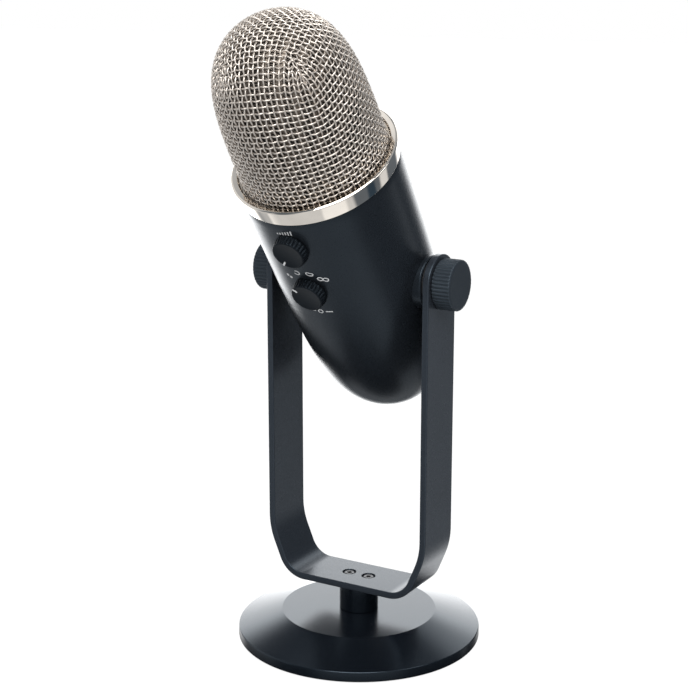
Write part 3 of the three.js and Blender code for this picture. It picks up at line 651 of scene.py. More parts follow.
def strap_stations():
    """Points and outward normals of the strap's outer face, from the right pivot down, across and up."""
    spread = UPPER_BEND_RADIUS - LOWER_BEND_RADIUS
    lower_z = FLOOR_UNDER + LOWER_BEND_RADIUS
    upper_z = lower_z + spread * sin(BEND_SPLAY) + BEND_STRAIGHT * cos(BEND_SPLAY)
    upper_x = FORK_HALF_WIDTH - UPPER_BEND_RADIUS
    lower_x = upper_x + spread * cos(BEND_SPLAY) - BEND_STRAIGHT * sin(BEND_SPLAY)
    side = [((FORK_HALF_WIDTH, PIVOT.z), (1, 0))]
    for x, z, radius, start, end, steps in (
        (upper_x, upper_z, UPPER_BEND_RADIUS, 0, BEND_SPLAY, 16),
        (lower_x, lower_z, LOWER_BEND_RADIUS, BEND_SPLAY, pi / 2, 28),
    ):
        for k in range(steps + 1):
            angle = start + (end - start) * k / steps
            normal = (cos(angle), -sin(angle))
            side.append(((x + radius * normal[0], z + radius * normal[1]), normal))
    mirrored = [((-point[0], point[1]), (-normal[0], normal[1])) for point, normal in reversed(side)]
    return side + mirrored


def bent_strap():
    """A section of (across, depth) points, swept along the stations, then swung round each pivot to make the
    arms' round ends. The section has a point in the middle of each broad face."""
    right = [(HALF_STRAP, depth, STRAP_EDGE) for depth in (0, STRAP_THICKNESS)]
    left = [(-HALF_STRAP, depth, STRAP_EDGE) for depth in (STRAP_THICKNESS, 0)]
    section = rounded([(0, 0), *right, (0, STRAP_THICKNESS), *left], closed=True)
    count = len(section)
    vertices = []
    faces = []
    for (x, z), (nx, nz) in strap_stations():
        if vertices:
            faces += strip(len(vertices) - count, len(vertices), count)
        vertices += [(x - nx * depth, across, z - nz * depth) for across, depth in section]
    half_section = [point for point in section if point[0] >= 0]
    row = len(half_section)
    for side in (-1, 1):
        for step in range(ARM_END_STEPS + 1):
            angle = pi * step / ARM_END_STEPS
            if step:
                faces += strip(len(vertices) - row, len(vertices), row, closed=False)
            for across, depth in half_section:
                up = PIVOT.z + across * sin(angle)
                vertices.append((side * (FORK_HALF_WIDTH - depth), across * cos(angle), up))
    return solid(vertices, faces)


def build_fork():
    stud_holes = moved(rod(STUD_RADIUS + GAP, -CUTTER_REACH, CUTTER_REACH), RIGHT_SIDE)
    holes = [shifted(stud_holes, 0, 0, PIVOT.z)]
    seat = [
        (0, FLOOR_TOP - HEAD_SEAT),
        (SCREW_HEAD + GAP, FLOOR_TOP - HEAD_SEAT),
        (SCREW_HEAD + GAP, FLOOR_TOP - 0.2),
        (SCREW_HEAD + GAP + 0.5, FLOOR_TOP + 0.3),
        (0, FLOOR_TOP + 0.3),
    ]
    for side in (-1, 1):
        holes.append(shifted(turned(*seat), side * SCREW_X, 0, 0))
        holes.append(shifted(rod(SCREW_SHANK + GAP, FLOOR_UNDER - 1, FLOOR_TOP, 32), side * SCREW_X, 0, 0))
    strap = carved(bent_strap(), *holes)
    on_stand(strap, "strap_fork", "strap_black", "fork_bracket", smooth=40)

    shoulder = SCREW_TOP - HEAD_SEAT + GAP
    for name, side in (("right", 1), ("left", -1)):
        screw = turned(
            (0, SCREW_TIP),
            (SCREW_SHANK, SCREW_TIP, 0.3),
            (SCREW_SHANK, shoulder, 0.1),
            (SCREW_HEAD, shoulder, 0.15),
            (SCREW_HEAD, SCREW_TOP - 0.5, 0.3),
            (SCREW_HEAD - 0.7, SCREW_TOP, 0.3),
            (0, SCREW_TOP),
        )
        carved(screw, prism(polygon(SOCKET_RADIUS, 6), SCREW_TOP - SOCKET_DEPTH, SCREW_TOP + 1))
        shifted(screw, side * SCREW_X, 0, 0)
        on_stand(screw, f"socket_screw_{name}", "dark_screw", f"fork_screw_{name}")


# ------ tilt axis

RIB_COUNT = 42
RIB_DEPTH = 0.4
RIB_EDGE = 1.1
THREAD_STEP = 0.13  # how far apart the stud's rings of vertices lie


def faded(height, low, high, rise, fall):
    """One between two heights, fading out within a rise above the low one and a fall below the high one."""
    return min(1, max(0, (high - height) / fall)) * min(1, max(0, (height - low) / rise))


def thumb_ripple(radius, height, angle):
    """Fine axial ribs on the knob's band, fading out over its front edge and its back edge."""
    if radius < THUMB_KNOB_RADIUS - RIB_EDGE:
        return radius
    groove = (0.5 - 0.5 * cos(angle * RIB_COUNT)) ** 1.5
    return radius - RIB_DEPTH * groove * faded(height, KNOB_START, KNOB_END, 0.4, RIB_EDGE)


def thread_ripple(radius, height, angle):
    """A helical screw thread on the part of the outline that has the stud's full radius."""
    if abs(radius - STUD_RADIUS) > 1e-3:
        return radius
    phase = (height / THREAD_PITCH + angle / tau) % 1
    return radius - THREAD_DEPTH * abs(2 * phase - 1)


def build_tilt_axis():
    bore = STUD_RADIUS + GAP
    rim = THUMB_KNOB_RADIUS
    chamfer = STUD_RADIUS - 0.5
    band_height = KNOB_END - KNOB_START - 1.5
    thread_rows = int((STUD_END - STUD_START - 1.2) / THREAD_STEP)
    boss_start = BODY_RADIUS - BOSS_DEPTH
    for name, side in (("right", RIGHT_SIDE), ("left", LEFT_SIDE)):
        place = PIVOT_FRAME @ side
        turning = f"{name}_tilt_knob"
        knob = turned(
            (0, STUD_END + GAP),
            (bore, STUD_END + GAP),
            (bore, KNOB_START),
            (rim - 0.5, KNOB_START),
            (rim - 0.15, KNOB_START + 0.12),
            *[(rim, KNOB_START + 0.45 + band_height * k / 6) for k in range(7)],
            (rim - 0.05, KNOB_END - 0.35, 0.5),
            (rim - 0.9, KNOB_END - 0.06, 0.5),
            (rim - 1.6, KNOB_END, 0.3),
            (0, KNOB_END - 0.1),
            sides=RIB_COUNT * 10,
            ripple=thumb_ripple,
        )
        install(knob, f"ribbed_thumb_knob_{name}", place, turning, "thumb_black", f"thumb_knob_{name}")

        stud = turned(
            (0, STUD_START),
            (chamfer, STUD_START),
            *[(STUD_RADIUS, STUD_START + 0.6 + THREAD_STEP * k) for k in range(thread_rows)],
            (chamfer, STUD_END),
            (0, STUD_END),
            sides=40,
            ripple=thread_ripple,
        )
        install(stud, f"threaded_stud_{name}", place, turning, "bare_steel", f"thumb_stud_{name}")

        washer = sleeve(WASHER_RADIUS, bore, WASHER_START, WASHER_END)
        install(washer, f"rubber_washer_{name}", place, "stand", "rubber_black", f"friction_washer_{name}")

        seat = turned(
            (bore, boss_start),
            (BOSS_RADIUS, boss_start),
            (BOSS_RADIUS, BOSS_END - 0.6, 0.5),
            (BOSS_RADIUS - 0.6, BOSS_END, 0.3),
            (bore, BOSS_END, 0.1),
            sides=120,
            closed=True,
        )
        carved(moved(seat, side), body_core(0.06))
        neck = moved(sleeve(BOSS_NECK_RADIUS, bore, BOSS_NECK_START, BODY_RADIUS - 1, 64), side)
        on_microphone(merged(seat, neck), f"round_boss_{name}", "satin_black", f"pivot_boss_{name}")


# ------ microphone skin


def bullet_radius(u, radius, taper, power, root):
    """The radius of a bullet shape at the share u of the way to its tip."""
    return radius * (1 - taper * u) * (1 - max(u, 0) ** power) ** (1 / root)


def body_radius(place):
    return bullet_radius((BODY_TOP - place) / BODY_SPAN, BODY_RADIUS, BODY_TAPER, BODY_POWER, BODY_ROOT)


def body_line(steps, grow=0.0):
    """(radius, place) points down the body's skin, closer together towards its rounded end."""
    shares = [1 - (1 - k / steps) ** 1.6 for k in range(steps + 1)]
    places = [BODY_TOP - BODY_SPAN * BODY_FLAT * share for share in shares]
    return [(body_radius(place) + grow, place) for place in places]


def body_core(grow):
    return turned((0, BODY_TOP), *body_line(70, grow), (0, BODY_END), sides=180)


def side_tool(radius, place, turn, flare=0.25):
    """A cutter that points out of the body's side, flared at the skin so that the hole's edge is broken."""
    flare_start = body_radius(place) - flare
    end = flare_start + 3
    outline = [(0, 20), (radius, 20), (radius, flare_start), (radius + 3, end), (0, end)]
    return shifted(moved(turned(*outline), panel(turn)), 0, 0, place)


def build_body():
    lip = 0.3
    mouth_top = PLATE_TOP + GAP
    mouth_edge = MOUTH_RADIUS + BODY_WALL + 0.5
    outer = [(radius, place) for radius, place in body_line(110) if place < BODY_TOP - lip]
    outer.insert(0, (BODY_RADIUS - lip, BODY_TOP))
    lined = [(radius, place) for radius, place in outer if radius > mouth_edge and place > mouth_top + 0.3]
    inner = [(radius - BODY_WALL, place) for radius, place in reversed(lined)]
    mouth = [(MOUTH_RADIUS, BODY_END, 0.35), (MOUTH_RADIUS, mouth_top)]
    shell = carved(
        turned(*outer, *mouth, *inner, sides=240),
        side_tool(SHAFT_HOLE_RADIUS, GAIN_PLACE, 0),
        side_tool(SHAFT_HOLE_RADIUS, PATTERN_PLACE, 0),
        side_tool(SHAFT_HOLE_RADIUS, VOLUME_PLACE, pi),
        side_tool(LAMP_RADIUS + 0.12, LAMP_PLACE, pi, flare=0.2),
        side_tool(MUTE_RADIUS + 0.25, MUTE_PLACE, pi, flare=0.3),
        *[side_tool(BOSS_NECK_RADIUS + GAP, 0, side * pi / 2) for side in (-1, 1)],
    )
    on_microphone(shell, "body_casing", "satin_black", "body_shell", smooth=30, weighted=False)

    ring_low = BODY_TOP + GAP
    skirt = BODY_RADIUS - BODY_WALL - GAP
    seat = GRILLE_FOOT - GAP
    ring = turned(
        (SKIRT_BORE, SKIRT_END, 0.3),
        (skirt, SKIRT_END, 0.3),
        (skirt, ring_low, 0.1),
        (RING_FOOT_RADIUS, ring_low, 0.18),
        (RING_CROWN_RADIUS + 0.03, RING_TOP - 0.45, 0.5),
        (RING_CROWN_RADIUS - 0.75, RING_TOP + 0.02, 0.5),
        (RING_BORE + 0.55, RING_TOP - 0.2, 0.5),
        (RING_BORE, RING_TOP - 0.75, 0.3),
        (RING_BORE, seat, 0.1),
        (SKIRT_BORE, seat, 0.2),
        sides=288,
        closed=True,
    )
    on_microphone(ring, "polished_ring", "chrome_ring", "trim_ring", smooth=40)


# ------ woven grille

CLOTH_RADIUS = GRILLE_RADIUS - CLOTH_INSET
CLOTH_RISE = GRILLE_RISE - CLOTH_INSET
CELL = tau * CLOTH_RADIUS / CELLS_ROUND
SETTLING_STEPS = 500
WIRE_SIDES = 6
WIRE_STEPS = 4  # rings of vertices from one crossing to the next
WIRE_LIFT = WIRE_RADIUS * 1.02


def dome_gap(points):
    """How far points lie off the cloth's dome: zero on it, with the gradient that leads back to it."""
    x, y, z = points.T
    u = np.clip((z - GRILLE_BASE) / CLOTH_RISE, 0, 1)
    reach = np.maximum(np.hypot(x, y), 1e-6)
    width = CLOTH_RADIUS * (1 - GRILLE_TAPER * u)
    value = (reach / width) ** GRILLE_ROOT + u**GRILLE_POWER - 1
    slope = GRILLE_ROOT * (reach / width) ** (GRILLE_ROOT - 1) / width
    down = GRILLE_POWER * u ** (GRILLE_POWER - 1) / CLOTH_RISE
    down = down + slope * reach / width * CLOTH_RADIUS * GRILLE_TAPER / CLOTH_RISE * (u > 0)
    return value, np.stack([slope * x / reach, slope * y / reach, down], axis=1)


def on_dome(points):
    """The points moved along the gradient on to the dome."""
    value, gradient = dome_gap(points)
    return points - gradient * (value / (gradient**2).sum(1))[:, None]


def dome_line(inset, foot, steps):
    """(radius, height) points down a line on the dome, from its top to its foot."""
    line = []
    for k in range(steps + 1):
        u = 1 - (k / steps) ** 2
        radius = bullet_radius(u, GRILLE_RADIUS - inset, GRILLE_TAPER, GRILLE_POWER, GRILLE_ROOT)
        line.append((radius, GRILLE_BASE + (GRILLE_RISE - inset) * u))
    return [*line, (GRILLE_RADIUS - inset, foot)]


def lay_cloth():
    """Crossing points of a cloth laid over the dome: a square patch on the top, and rows below it that run
    right round. Returns the points, the patch's numbers and the rows' numbers."""
    line = np.array(dome_line(CLOTH_INSET, CLOTH_FOOT, 400))
    distance = np.concatenate([[0], np.cumsum(np.linalg.norm(np.diff(line, axis=0), axis=1))])
    corners = CLOTH_ACROSS + 1
    patch = np.arange(corners**2).reshape(corners, corners)
    rim = np.concatenate([patch[:-1, 0], patch[-1, :-1], patch[:0:-1, -1], patch[0, :0:-1]])
    x, y = (np.indices(patch.shape).reshape(2, -1) - CLOTH_ACROSS / 2) * CELL
    azimuth = np.arctan2(y, x)
    reach = 0.5 * np.hypot(x, y) + 0.5 * np.maximum(abs(x), abs(y))
    rows = [rim]
    even = -3 * pi / 4 + np.arange(CELLS_ROUND) * tau / CELLS_ROUND
    turn = np.angle(np.exp(1j * (azimuth[rim] - even)))
    left = distance[-1] - reach[rim]
    count = round(left.mean() / (CELL * 1.06))
    for k in range(1, count + 1):
        azimuth = np.concatenate([azimuth, even + turn * max(0, 1 - k / 6)])
        reach = np.concatenate([reach, reach[rim] + left * (k / count)])
        rows.append(np.arange(len(azimuth) - CELLS_ROUND, len(azimuth)))
    rows = np.array(rows)
    radius = np.interp(reach, distance, line[:, 0])
    height = np.interp(reach, distance, line[:, 1])
    points = np.stack([radius * np.cos(azimuth), radius * np.sin(azimuth), height], axis=1)

    stretches = (
        (patch[:-1], patch[1:], 1.1),
        (patch[:, :-1], patch[:, 1:], 1.1),
        (rows[1:], np.roll(rows[1:], -1, axis=1), 1.0),
        (rows[:-1], rows[1:], 1.22 - 0.3 * (np.arange(count) / count)[:, None]),
    )
    first = np.concatenate([near.ravel() for near, far, size in stretches])
    second = np.concatenate([far.ravel() for near, far, size in stretches])
    rest = np.concatenate([np.broadcast_to(size, near.shape).ravel() for near, far, size in stretches])
    rest = rest[:, None] * CELL
    ties = np.bincount(np.concatenate([first, second]), minlength=len(points))[:, None]
    foot_points = points[rows[-1]]
    for _ in range(SETTLING_STEPS):
        span = points[second] - points[first]
        length = np.linalg.norm(span, axis=1, keepdims=True)
        pull = span * (0.5 * (1 - rest / length) + 0.08)
        move = np.zeros_like(points)
        np.add.at(move, first, pull)
        np.add.at(move, second, -pull)
        points = on_dome(points + move / ties * 0.8)
        points[rows[-1]] = foot_points
    return on_dome(points), patch, rows


def unit(vectors):
    return vectors / np.linalg.norm(vectors, axis=1, keepdims=True)


def wire_rings(stops, lifts, closed):
    """Rings of vertices along one wire through its crossing points, which are lifted off the dome or sunk."""
    count = len(stops)
    if closed:
        ends = np.vstack([stops[-1:], stops, stops[:2]])
    else:
        ends = np.vstack([2 * stops[0] - stops[1], stops, 2 * stops[-1] - stops[-2]])
    line = []
    waves = []
    for k in range(count if closed else count - 1):
        a, b, c, d = ends[k : k + 4]
        for t in np.arange(WIRE_STEPS) / WIRE_STEPS:
            curve = 2 * b + (c - a) * t + (2 * a - 5 * b + 4 * c - d) * t**2 + (3 * b - a - 3 * c + d) * t**3
            line.append(curve / 2)
            waves.append(lifts[k] + (lifts[(k + 1) % count] - lifts[k]) * (1 - cos(pi * t)) / 2)
    if not closed:
        line.append(stops[-1])
        waves.append(lifts[-1])
    line = np.array(line)
    normals = unit(dome_gap(line)[1])
    centre = line + normals * np.array(waves)[:, None]
    if closed:
        tangent = unit(np.roll(centre, -1, axis=0) - np.roll(centre, 1, axis=0))
    else:
        tangent = unit(np.gradient(centre, axis=0))
    across = unit(np.cross(tangent, normals))
    out = np.cross(across, tangent)
    angles = (np.arange(WIRE_SIDES) * tau / WIRE_SIDES)[None, :, None]
    return centre[:, None] + WIRE_RADIUS * (np.cos(angles) * across[:, None] + np.sin(angles) * out[:, None])


def weave():
    """Two objects: the wires that pass over the top and down both sides, and the wires that run round."""
    points, patch, rows = lay_cloth()
    colour = np.zeros(len(points), int)
    colour[patch] = np.indices(patch.shape).sum(0) % 2
    for k in range(1, len(rows)):
        colour[rows[k]] = (colour[rows[0]] + k) % 2
    over = []
    around = []
    for lane in range(1, CLOTH_ACROSS):
        for direction, middle, first, last in (
            (0, patch[:, lane], CELLS_ROUND - lane, CLOTH_ACROSS + lane),
            (1, patch[lane], lane, 3 * CLOTH_ACROSS - lane),
        ):
            over.append((np.concatenate([rows[:0:-1, first], middle, rows[1:, last]]), direction, False))
    for corner in range(4):
        around.append((rows[:, corner * CLOTH_ACROSS], 1 - corner % 2, False))
    quarter = np.arange(CELLS_ROUND) // CLOTH_ACROSS % 2
    around += [(row, quarter, True) for row in rows]
    made = []
    for wires in (over, around):
        vertices = []
        faces = []
        for path, raised, closed in wires:
            lifts = np.where(colour[path] == raised, WIRE_LIFT, -WIRE_LIFT)
            rings = wire_rings(points[path], lifts, closed)
            faces += tube_faces(len(vertices), WIRE_SIDES, len(rings), closed)
            vertices.extend(rings.reshape(-1, 3))
        made.append(moved(solid(vertices, faces, weld=False), Matrix.Rotation(WEAVE_TURN, 4, "Z")))
    return made


def dome_shell(inset, thickness, ripple=None):
    """A closed lining that follows the dome, this far inside it."""
    outside = dome_line(inset, GRILLE_FOOT, 60)
    inside = dome_line(inset + thickness, GRILLE_FOOT, 60)
    return turned(*reversed(outside), *inside, sides=160, ripple=ripple)


def foam_lumps(radius, height, angle):
    """The foam's surface, a little uneven."""
    return radius + 0.12 * sin(angle * 37 + height * 2.1) * sin(height * 3.7 - angle * 11)


def build_head():
    for wires, name in zip(weave(), ("grille_warp_wires", "grille_weft_wires")):
        on_microphone(wires, name, "nickel_mesh", "head_grille", smooth=60, weighted=False)
    liner = dome_shell(LINER_INSET, LINER_THICKNESS)
    on_microphone(liner, "inner_gauze", "gauze", "inner_mesh", weighted=False)
    lining = dome_shell(FOAM_INSET, FOAM_THICKNESS, foam_lumps)
    on_microphone(lining, "foam_lining", "grey_foam", "foam_liner", weighted=False)


# ------ controls

FLUTES = 26
FLUTE_DEPTH = 0.38
KNOB_CAP = 1.3  # thickness of the knob over its shaft
FLAT_DEPTH = 1.35  # how far from the shaft's axis its flat lies
FLAT_LENGTH = 5
MARK_HALF_WIDTH = 0.38


def control_knob(surface):
    """A fluted push-on knob: its foot on the skin's tangent plane, its face slightly dished."""
    foot = surface + GAP
    face = foot + KNOB_HEIGHT
    rim = KNOB_FACE_RADIUS
    slope = KNOB_RADIUS - rim

    def ripple(radius, height, angle):
        if radius < rim - 0.8:
            return radius
        flute = (0.5 - 0.5 * cos(FLUTES * angle)) ** 2
        return radius - FLUTE_DEPTH * flute * faded(height, foot, face, 0.9, 0.7)

    return turned(
        (0, face - KNOB_CAP),
        (SHAFT_RADIUS + 0.05, face - KNOB_CAP),
        (SHAFT_RADIUS + 0.05, foot),
        (KNOB_RADIUS - 0.3, foot),
        (KNOB_RADIUS - 0.05, foot + 0.15),
        *[(KNOB_RADIUS - slope * k / 8, foot + 0.5 + (KNOB_HEIGHT - 1.1) * k / 8) for k in range(9)],
        (rim - 0.08, face - 0.3),
        (rim - 0.3, face - 0.08),
        (rim - 0.6, face),
        (rim - 1.0, face - 0.02),
        (rim - 1.3, face - 0.14),
        (0, face - 0.2),
        sides=FLUTES * 12,
        ripple=ripple,
    )


def pointer(surface, angle):
    """The white index mark laid into the knob's face near its rim."""
    face = surface + GAP + KNOB_HEIGHT
    near = KNOB_FACE_RADIUS - 2.6
    far = KNOB_FACE_RADIUS - 0.25
    heights = {-1: (near, 0.3), 1: (far, 0.1)}
    corners = [(x * MARK_HALF_WIDTH, *heights[y]) for x, y in SQUARE]
    mark = prism(rounded(corners, closed=True, steps=4), face - 0.5, face + 0.04)
    return moved(mark, Matrix.Rotation(-angle, 4, "Z"))


def facing(side, place):
    """One side's frame at a height on the microphone's axis."""
    return MICROPHONE @ Matrix.Translation((0, 0, place)) @ side


def build_controls():
    for name, side, place, angle in (
        ("gain", FRONT_SIDE, GAIN_PLACE, GAIN_REST_ANGLE),
        ("pattern", FRONT_SIDE, PATTERN_PLACE, PATTERN_REST_ANGLE),
        ("volume", REAR_SIDE, VOLUME_PLACE, 0),
    ):
        surface = body_radius(place - KNOB_RADIUS / 2)
        where = facing(side, place)
        turning = f"{name}_control"
        install(control_knob(surface), f"fluted_{name}_knob", where, turning, "knob_black", f"{name}_knob")
        install(pointer(surface, angle), f"{name}_pointer", where, turning, "print_white")
        end = surface + KNOB_HEIGHT - KNOB_CAP
        ends = [(SHAFT_RADIUS, SHAFT_START, 0.3), (SHAFT_RADIUS, end, 0.3)]
        shaft = turned((0, SHAFT_START), *ends, (0, end), sides=48)
        flat = [(-3, FLAT_DEPTH), (3, FLAT_DEPTH), (3, 4), (-3, 4)]
        carved(shaft, prism(flat, end - FLAT_LENGTH, end + 1))
        install(shaft, f"flatted_{name}_shaft", where, turning, "bare_steel", f"{name}_shaft")

    surface = body_radius(MUTE_PLACE)
    button = turned(
        (0, MUTE_START),
        (MUTE_FLANGE_RADIUS, MUTE_START, 0.2),
        (MUTE_FLANGE_RADIUS, MUTE_SHOULDER, 0.2),
        (MUTE_RADIUS, MUTE_SHOULDER, 0.1),
        (MUTE_RADIUS, surface + 1.6, 0.6),
        (MUTE_RADIUS - 1.2, surface + 1.62, 0.4),
        (0, surface + 1.35),
        sides=96,
    )
    where = facing(REAR_SIDE, MUTE_PLACE)
    install(button, "dished_mute_button", where, "mute_control", "knob_black", "mute_button")

    surface = body_radius(LAMP_PLACE)
    lens = turned(
        (0, LAMP_START),
        (LAMP_FLANGE_RADIUS, LAMP_START, 0.1),
        (LAMP_FLANGE_RADIUS, LAMP_SHOULDER, 0.1),
        (LAMP_RADIUS, LAMP_SHOULDER),
        (LAMP_RADIUS, surface - 0.1),
        *[(LAMP_RADIUS * cos(a), surface - 0.1 + 0.45 * sin(a)) for a in (0.3, 0.6, 0.9, 1.2)],
        (0, surface + 0.35),
        sides=48,
    )
    install(lens, "lamp_lens", facing(REAR_SIDE, LAMP_PLACE), "microphone", "lamp_red", "mute_lamp")


# ------ printed marks

INK = 0.05  # how far a mark stands proud of the skin, and how deep it reaches
LEAN = radians(15)
LINE_WIDTH = 0.42
MARK_ARC = 10.9  # distance of the pattern symbols from the knob's axis
BARS = 6
BAR_SPACING = 1.32
BAR_WIDTH = 0.6
BAR_FOOT = 7.6  # heights over the knob's axis
BAR_TOP = 8.3
BAR_GROWTH = 0.3
RULE_DROP = 11.6
RULE_WIDTH = 0.5


def on_skin(point, height, turn):
    reach = body_radius(point[1]) + height
    angle = point[0] / body_radius(point[1]) + turn
    return (reach * sin(angle), -reach * cos(angle), point[1])


def ink(points, width=LINE_WIDTH, closed=True, turn=0.0):
    """A printed line of one width along (x, height) points on the body's skin, as a closed thin strip."""
    count = len(points)
    vertices = []
    for k, point in enumerate(points):
        before = points[k - 1] if closed or k else point
        after = points[(k + 1) % count] if closed or k < count - 1 else point
        along = (Vector(after) - Vector(before)).normalized()
        side = Vector((-along.y, along.x)) * width / 2
        for sign, height in ((1, -INK), (-1, -INK), (-1, INK), (1, INK)):
            vertices.append(on_skin(Vector(point) + side * sign, height, turn))
    return solid(vertices, tube_faces(0, 4, count, closed))


def ink_disc(x, height, radius):
    ring = [Vector((x, height)) + Vector(point) for point in polygon(radius, 24)]
    return slab([on_skin(point, -INK, 0) for point in ring], [on_skin(point, INK, 0) for point in ring])


def oval(x, y, wide, high, start=0.0, sweep=tau, pinch=0.0, lean=0.0, steps=32):
    """An oval, or a stretch of one, with an optional pinch at its top that makes it a kidney."""
    line = []
    for k in range(steps if sweep == tau else steps + 1):
        angle = start + sweep * k / steps
        reach = 1 - pinch * max(0, cos(angle)) ** 4
        along = wide * sin(angle) * reach
        up = high * cos(angle) * reach
        across = along * cos(lean) + up * sin(lean)
        line.append((x + across, y - along * sin(lean) + up * cos(lean)))
    return line


def print_marks(name, marks):
    on_microphone(merged(*marks), name, "print_white", weighted=False)


def build_marks():
    """Four pickup-pattern symbols round the lower knob, rising bars over the upper ones, and a plain rule."""
    angles = [PATTERN_REST_ANGLE + PATTERN_STEP * k for k in range(4)]
    spots = [(MARK_ARC * sin(angle), PATTERN_PLACE + MARK_ARC * cos(angle)) for angle in angles]
    (two_x, two_y), (open_x, open_y), (kidney_x, kidney_y), (eight_x, eight_y) = spots
    symbols = [
        ink_disc(two_x - 0.75, two_y + 0.45, 0.68),
        ink_disc(two_x + 0.75, two_y - 0.45, 0.68),
        ink(oval(open_x, open_y, 1.25, 1.0, -0.9, tau * 0.8, lean=LEAN), closed=False),
        ink(oval(kidney_x, kidney_y, 1.6, 0.95, pinch=0.5, lean=LEAN)),
        ink(oval(eight_x - 1.15, eight_y + 0.3, 1.15, 0.85, lean=LEAN)),
        ink(oval(eight_x + 1.15, eight_y - 0.3, 1.15, 0.85, lean=LEAN)),
    ]
    print_marks("pattern_marks", symbols)

    bars = []
    for face, place, middle in ((0, GAIN_PLACE, -0.8), (pi, VOLUME_PLACE, 0)):
        for k in range(BARS):
            x = middle + BAR_SPACING * (k - (BARS - 1) / 2)
            ends = [(x, place + BAR_FOOT), (x, place + BAR_TOP + BAR_GROWTH * k)]
            bars.append(ink(ends, BAR_WIDTH, False, face))
    print_marks("level_marks", bars)

    x = 0.8
    y = PATTERN_PLACE - RULE_DROP
    rule = [ink([(x + side * 2.4, y), (x + side * 5.6, y)], RULE_WIDTH, False) for side in (-1, 1)]
    print_marks("selector_marks", [*rule, ink(oval(x, y, 1.05, 0.9))])


# ------ bottom end

PORT_WIDTH = 9.6
PORT_HEIGHT = 3.9
PLATE_SCREW_SHANK = 1
PLATE_SCREW_FACE = BODY_END + 0.2


def build_bottom():
    plate_foot = BODY_END + 0.05
    below = BODY_END - 1
    above = PLATE_TOP + 1
    rim = [(PLATE_RADIUS, plate_foot, 0.35), (PLATE_RADIUS, PLATE_TOP, 0.2)]
    plate = turned((0, plate_foot), *rim, (0, PLATE_TOP), sides=128)
    slot = rounded([(PORT_WIDTH / 2 * x, PORT_HEIGHT / 2 * y, 1.5) for x, y in SQUARE], closed=True)
    tools = [
        rod(THREAD_BORE, below, above, 96),
        shifted(prism(slot, below, above), 0, -PORT_OFFSET, 0),
        shifted(rod(JACK_HOLE_RADIUS, below, above, 64), 0, PORT_OFFSET, 0),
    ]
    for side in (-1, 1):
        tools.append(shifted(rod(PLATE_SCREW_SHANK + GAP, below, above, 32), side * PORT_OFFSET, 0, 0))
        tools.append(shifted(rod(PLATE_SCREW_HEAD + 0.2, below, BODY_END + 1.8), side * PORT_OFFSET, 0, 0))
    on_microphone(carved(plate, *tools), "end_plate", "satin_black", "bottom_plate")

    shoulder = PLATE_SCREW_FACE + 1.4
    for name, side in (("right", 1), ("left", -1)):
        screw = turned(
            (0, PLATE_SCREW_FACE),
            (PLATE_SCREW_HEAD - 0.7, PLATE_SCREW_FACE, 0.2),
            (PLATE_SCREW_HEAD, PLATE_SCREW_FACE + 0.5, 0.2),
            (PLATE_SCREW_HEAD, shoulder, 0.1),
            (PLATE_SCREW_SHANK, shoulder),
            (PLATE_SCREW_SHANK, PLATE_SCREW_TOP, 0.2),
            (0, PLATE_SCREW_TOP),
            sides=48,
        )
        carved(screw, prism(polygon(1, 6), PLATE_SCREW_FACE - 1, PLATE_SCREW_FACE + 0.9))
        shifted(screw, side * PORT_OFFSET, 0, 0)
        on_microphone(screw, f"plate_screw_{name}", "dark_screw", f"bottom_screw_{name}")


# ------ carried-over inner parts

INNER_FINISHES = {
    "bare_steel": ["base_washer", "base_bolt", "boss_screw_right", "boss_screw_left", "chassis"]
    + ["deck_screw_right", "deck_screw_left", "usb_port"],
    "grey_plastic": ["gain_pot", "pattern_switch", "volume_pot", "mute_switch", "headphone_jack"],
    "board_green": ["front_board", "rear_board", "main_board", "bottom_board", "capsule_board"],
    "brass": ["thread_insert", "capsule_front", "capsule_right", "capsule_left"],
    "rubber_black": ["shock_mount"],
    "knob_black": ["head_deck", "capsule_mount"],
    "cable_grey": ["capsule_lead"],
}


def dress_inner_parts():
    for finish, names in INNER_FINISHES.items():
        for name in names:
            node = frame["nodes"][name]
            node.data.materials.clear()
            node.data.materials.append(FINISHES[finish])
            edge = node.modifiers.new("edge", "BEVEL")
            edge.width = 0.12 * MM
            edge.segments = 2
            edge.limit_method = "ANGLE"
            edge.angle_limit = radians(40)
            edge.harden_normals = True


# ------ stage, light and camera

CAMERA_AZIMUTH = radians(30.26)
CAMERA_ELEVATION = radians(13.5)
CAMERA_DISTANCE = 681.9
TARGET_HEIGHT = 135.92
TARGET_SHIFT = -6.8255
LENS = 80.99
SENSOR = 36
RIGHTWARD = Vector((cos(CAMERA_AZIMUTH), sin(CAMERA_AZIMUTH), 0))
TOWARD_CAMERA = Vector((sin(CAMERA_AZIMUTH), -cos(CAMERA_AZIMUTH), 0))
UPWARD = Vector((0, 0, 1))
BACKWARD = TOWARD_CAMERA * cos(CAMERA_ELEVATION) + UPWARD * sin(CAMERA_ELEVATION)
LAMPS_AIM = 120  # the height of the point on the stand's axis that the lamps face
FLOOR_REACH = 6000
FILL = 0.5  # brightness of the studio as rough surfaces see it

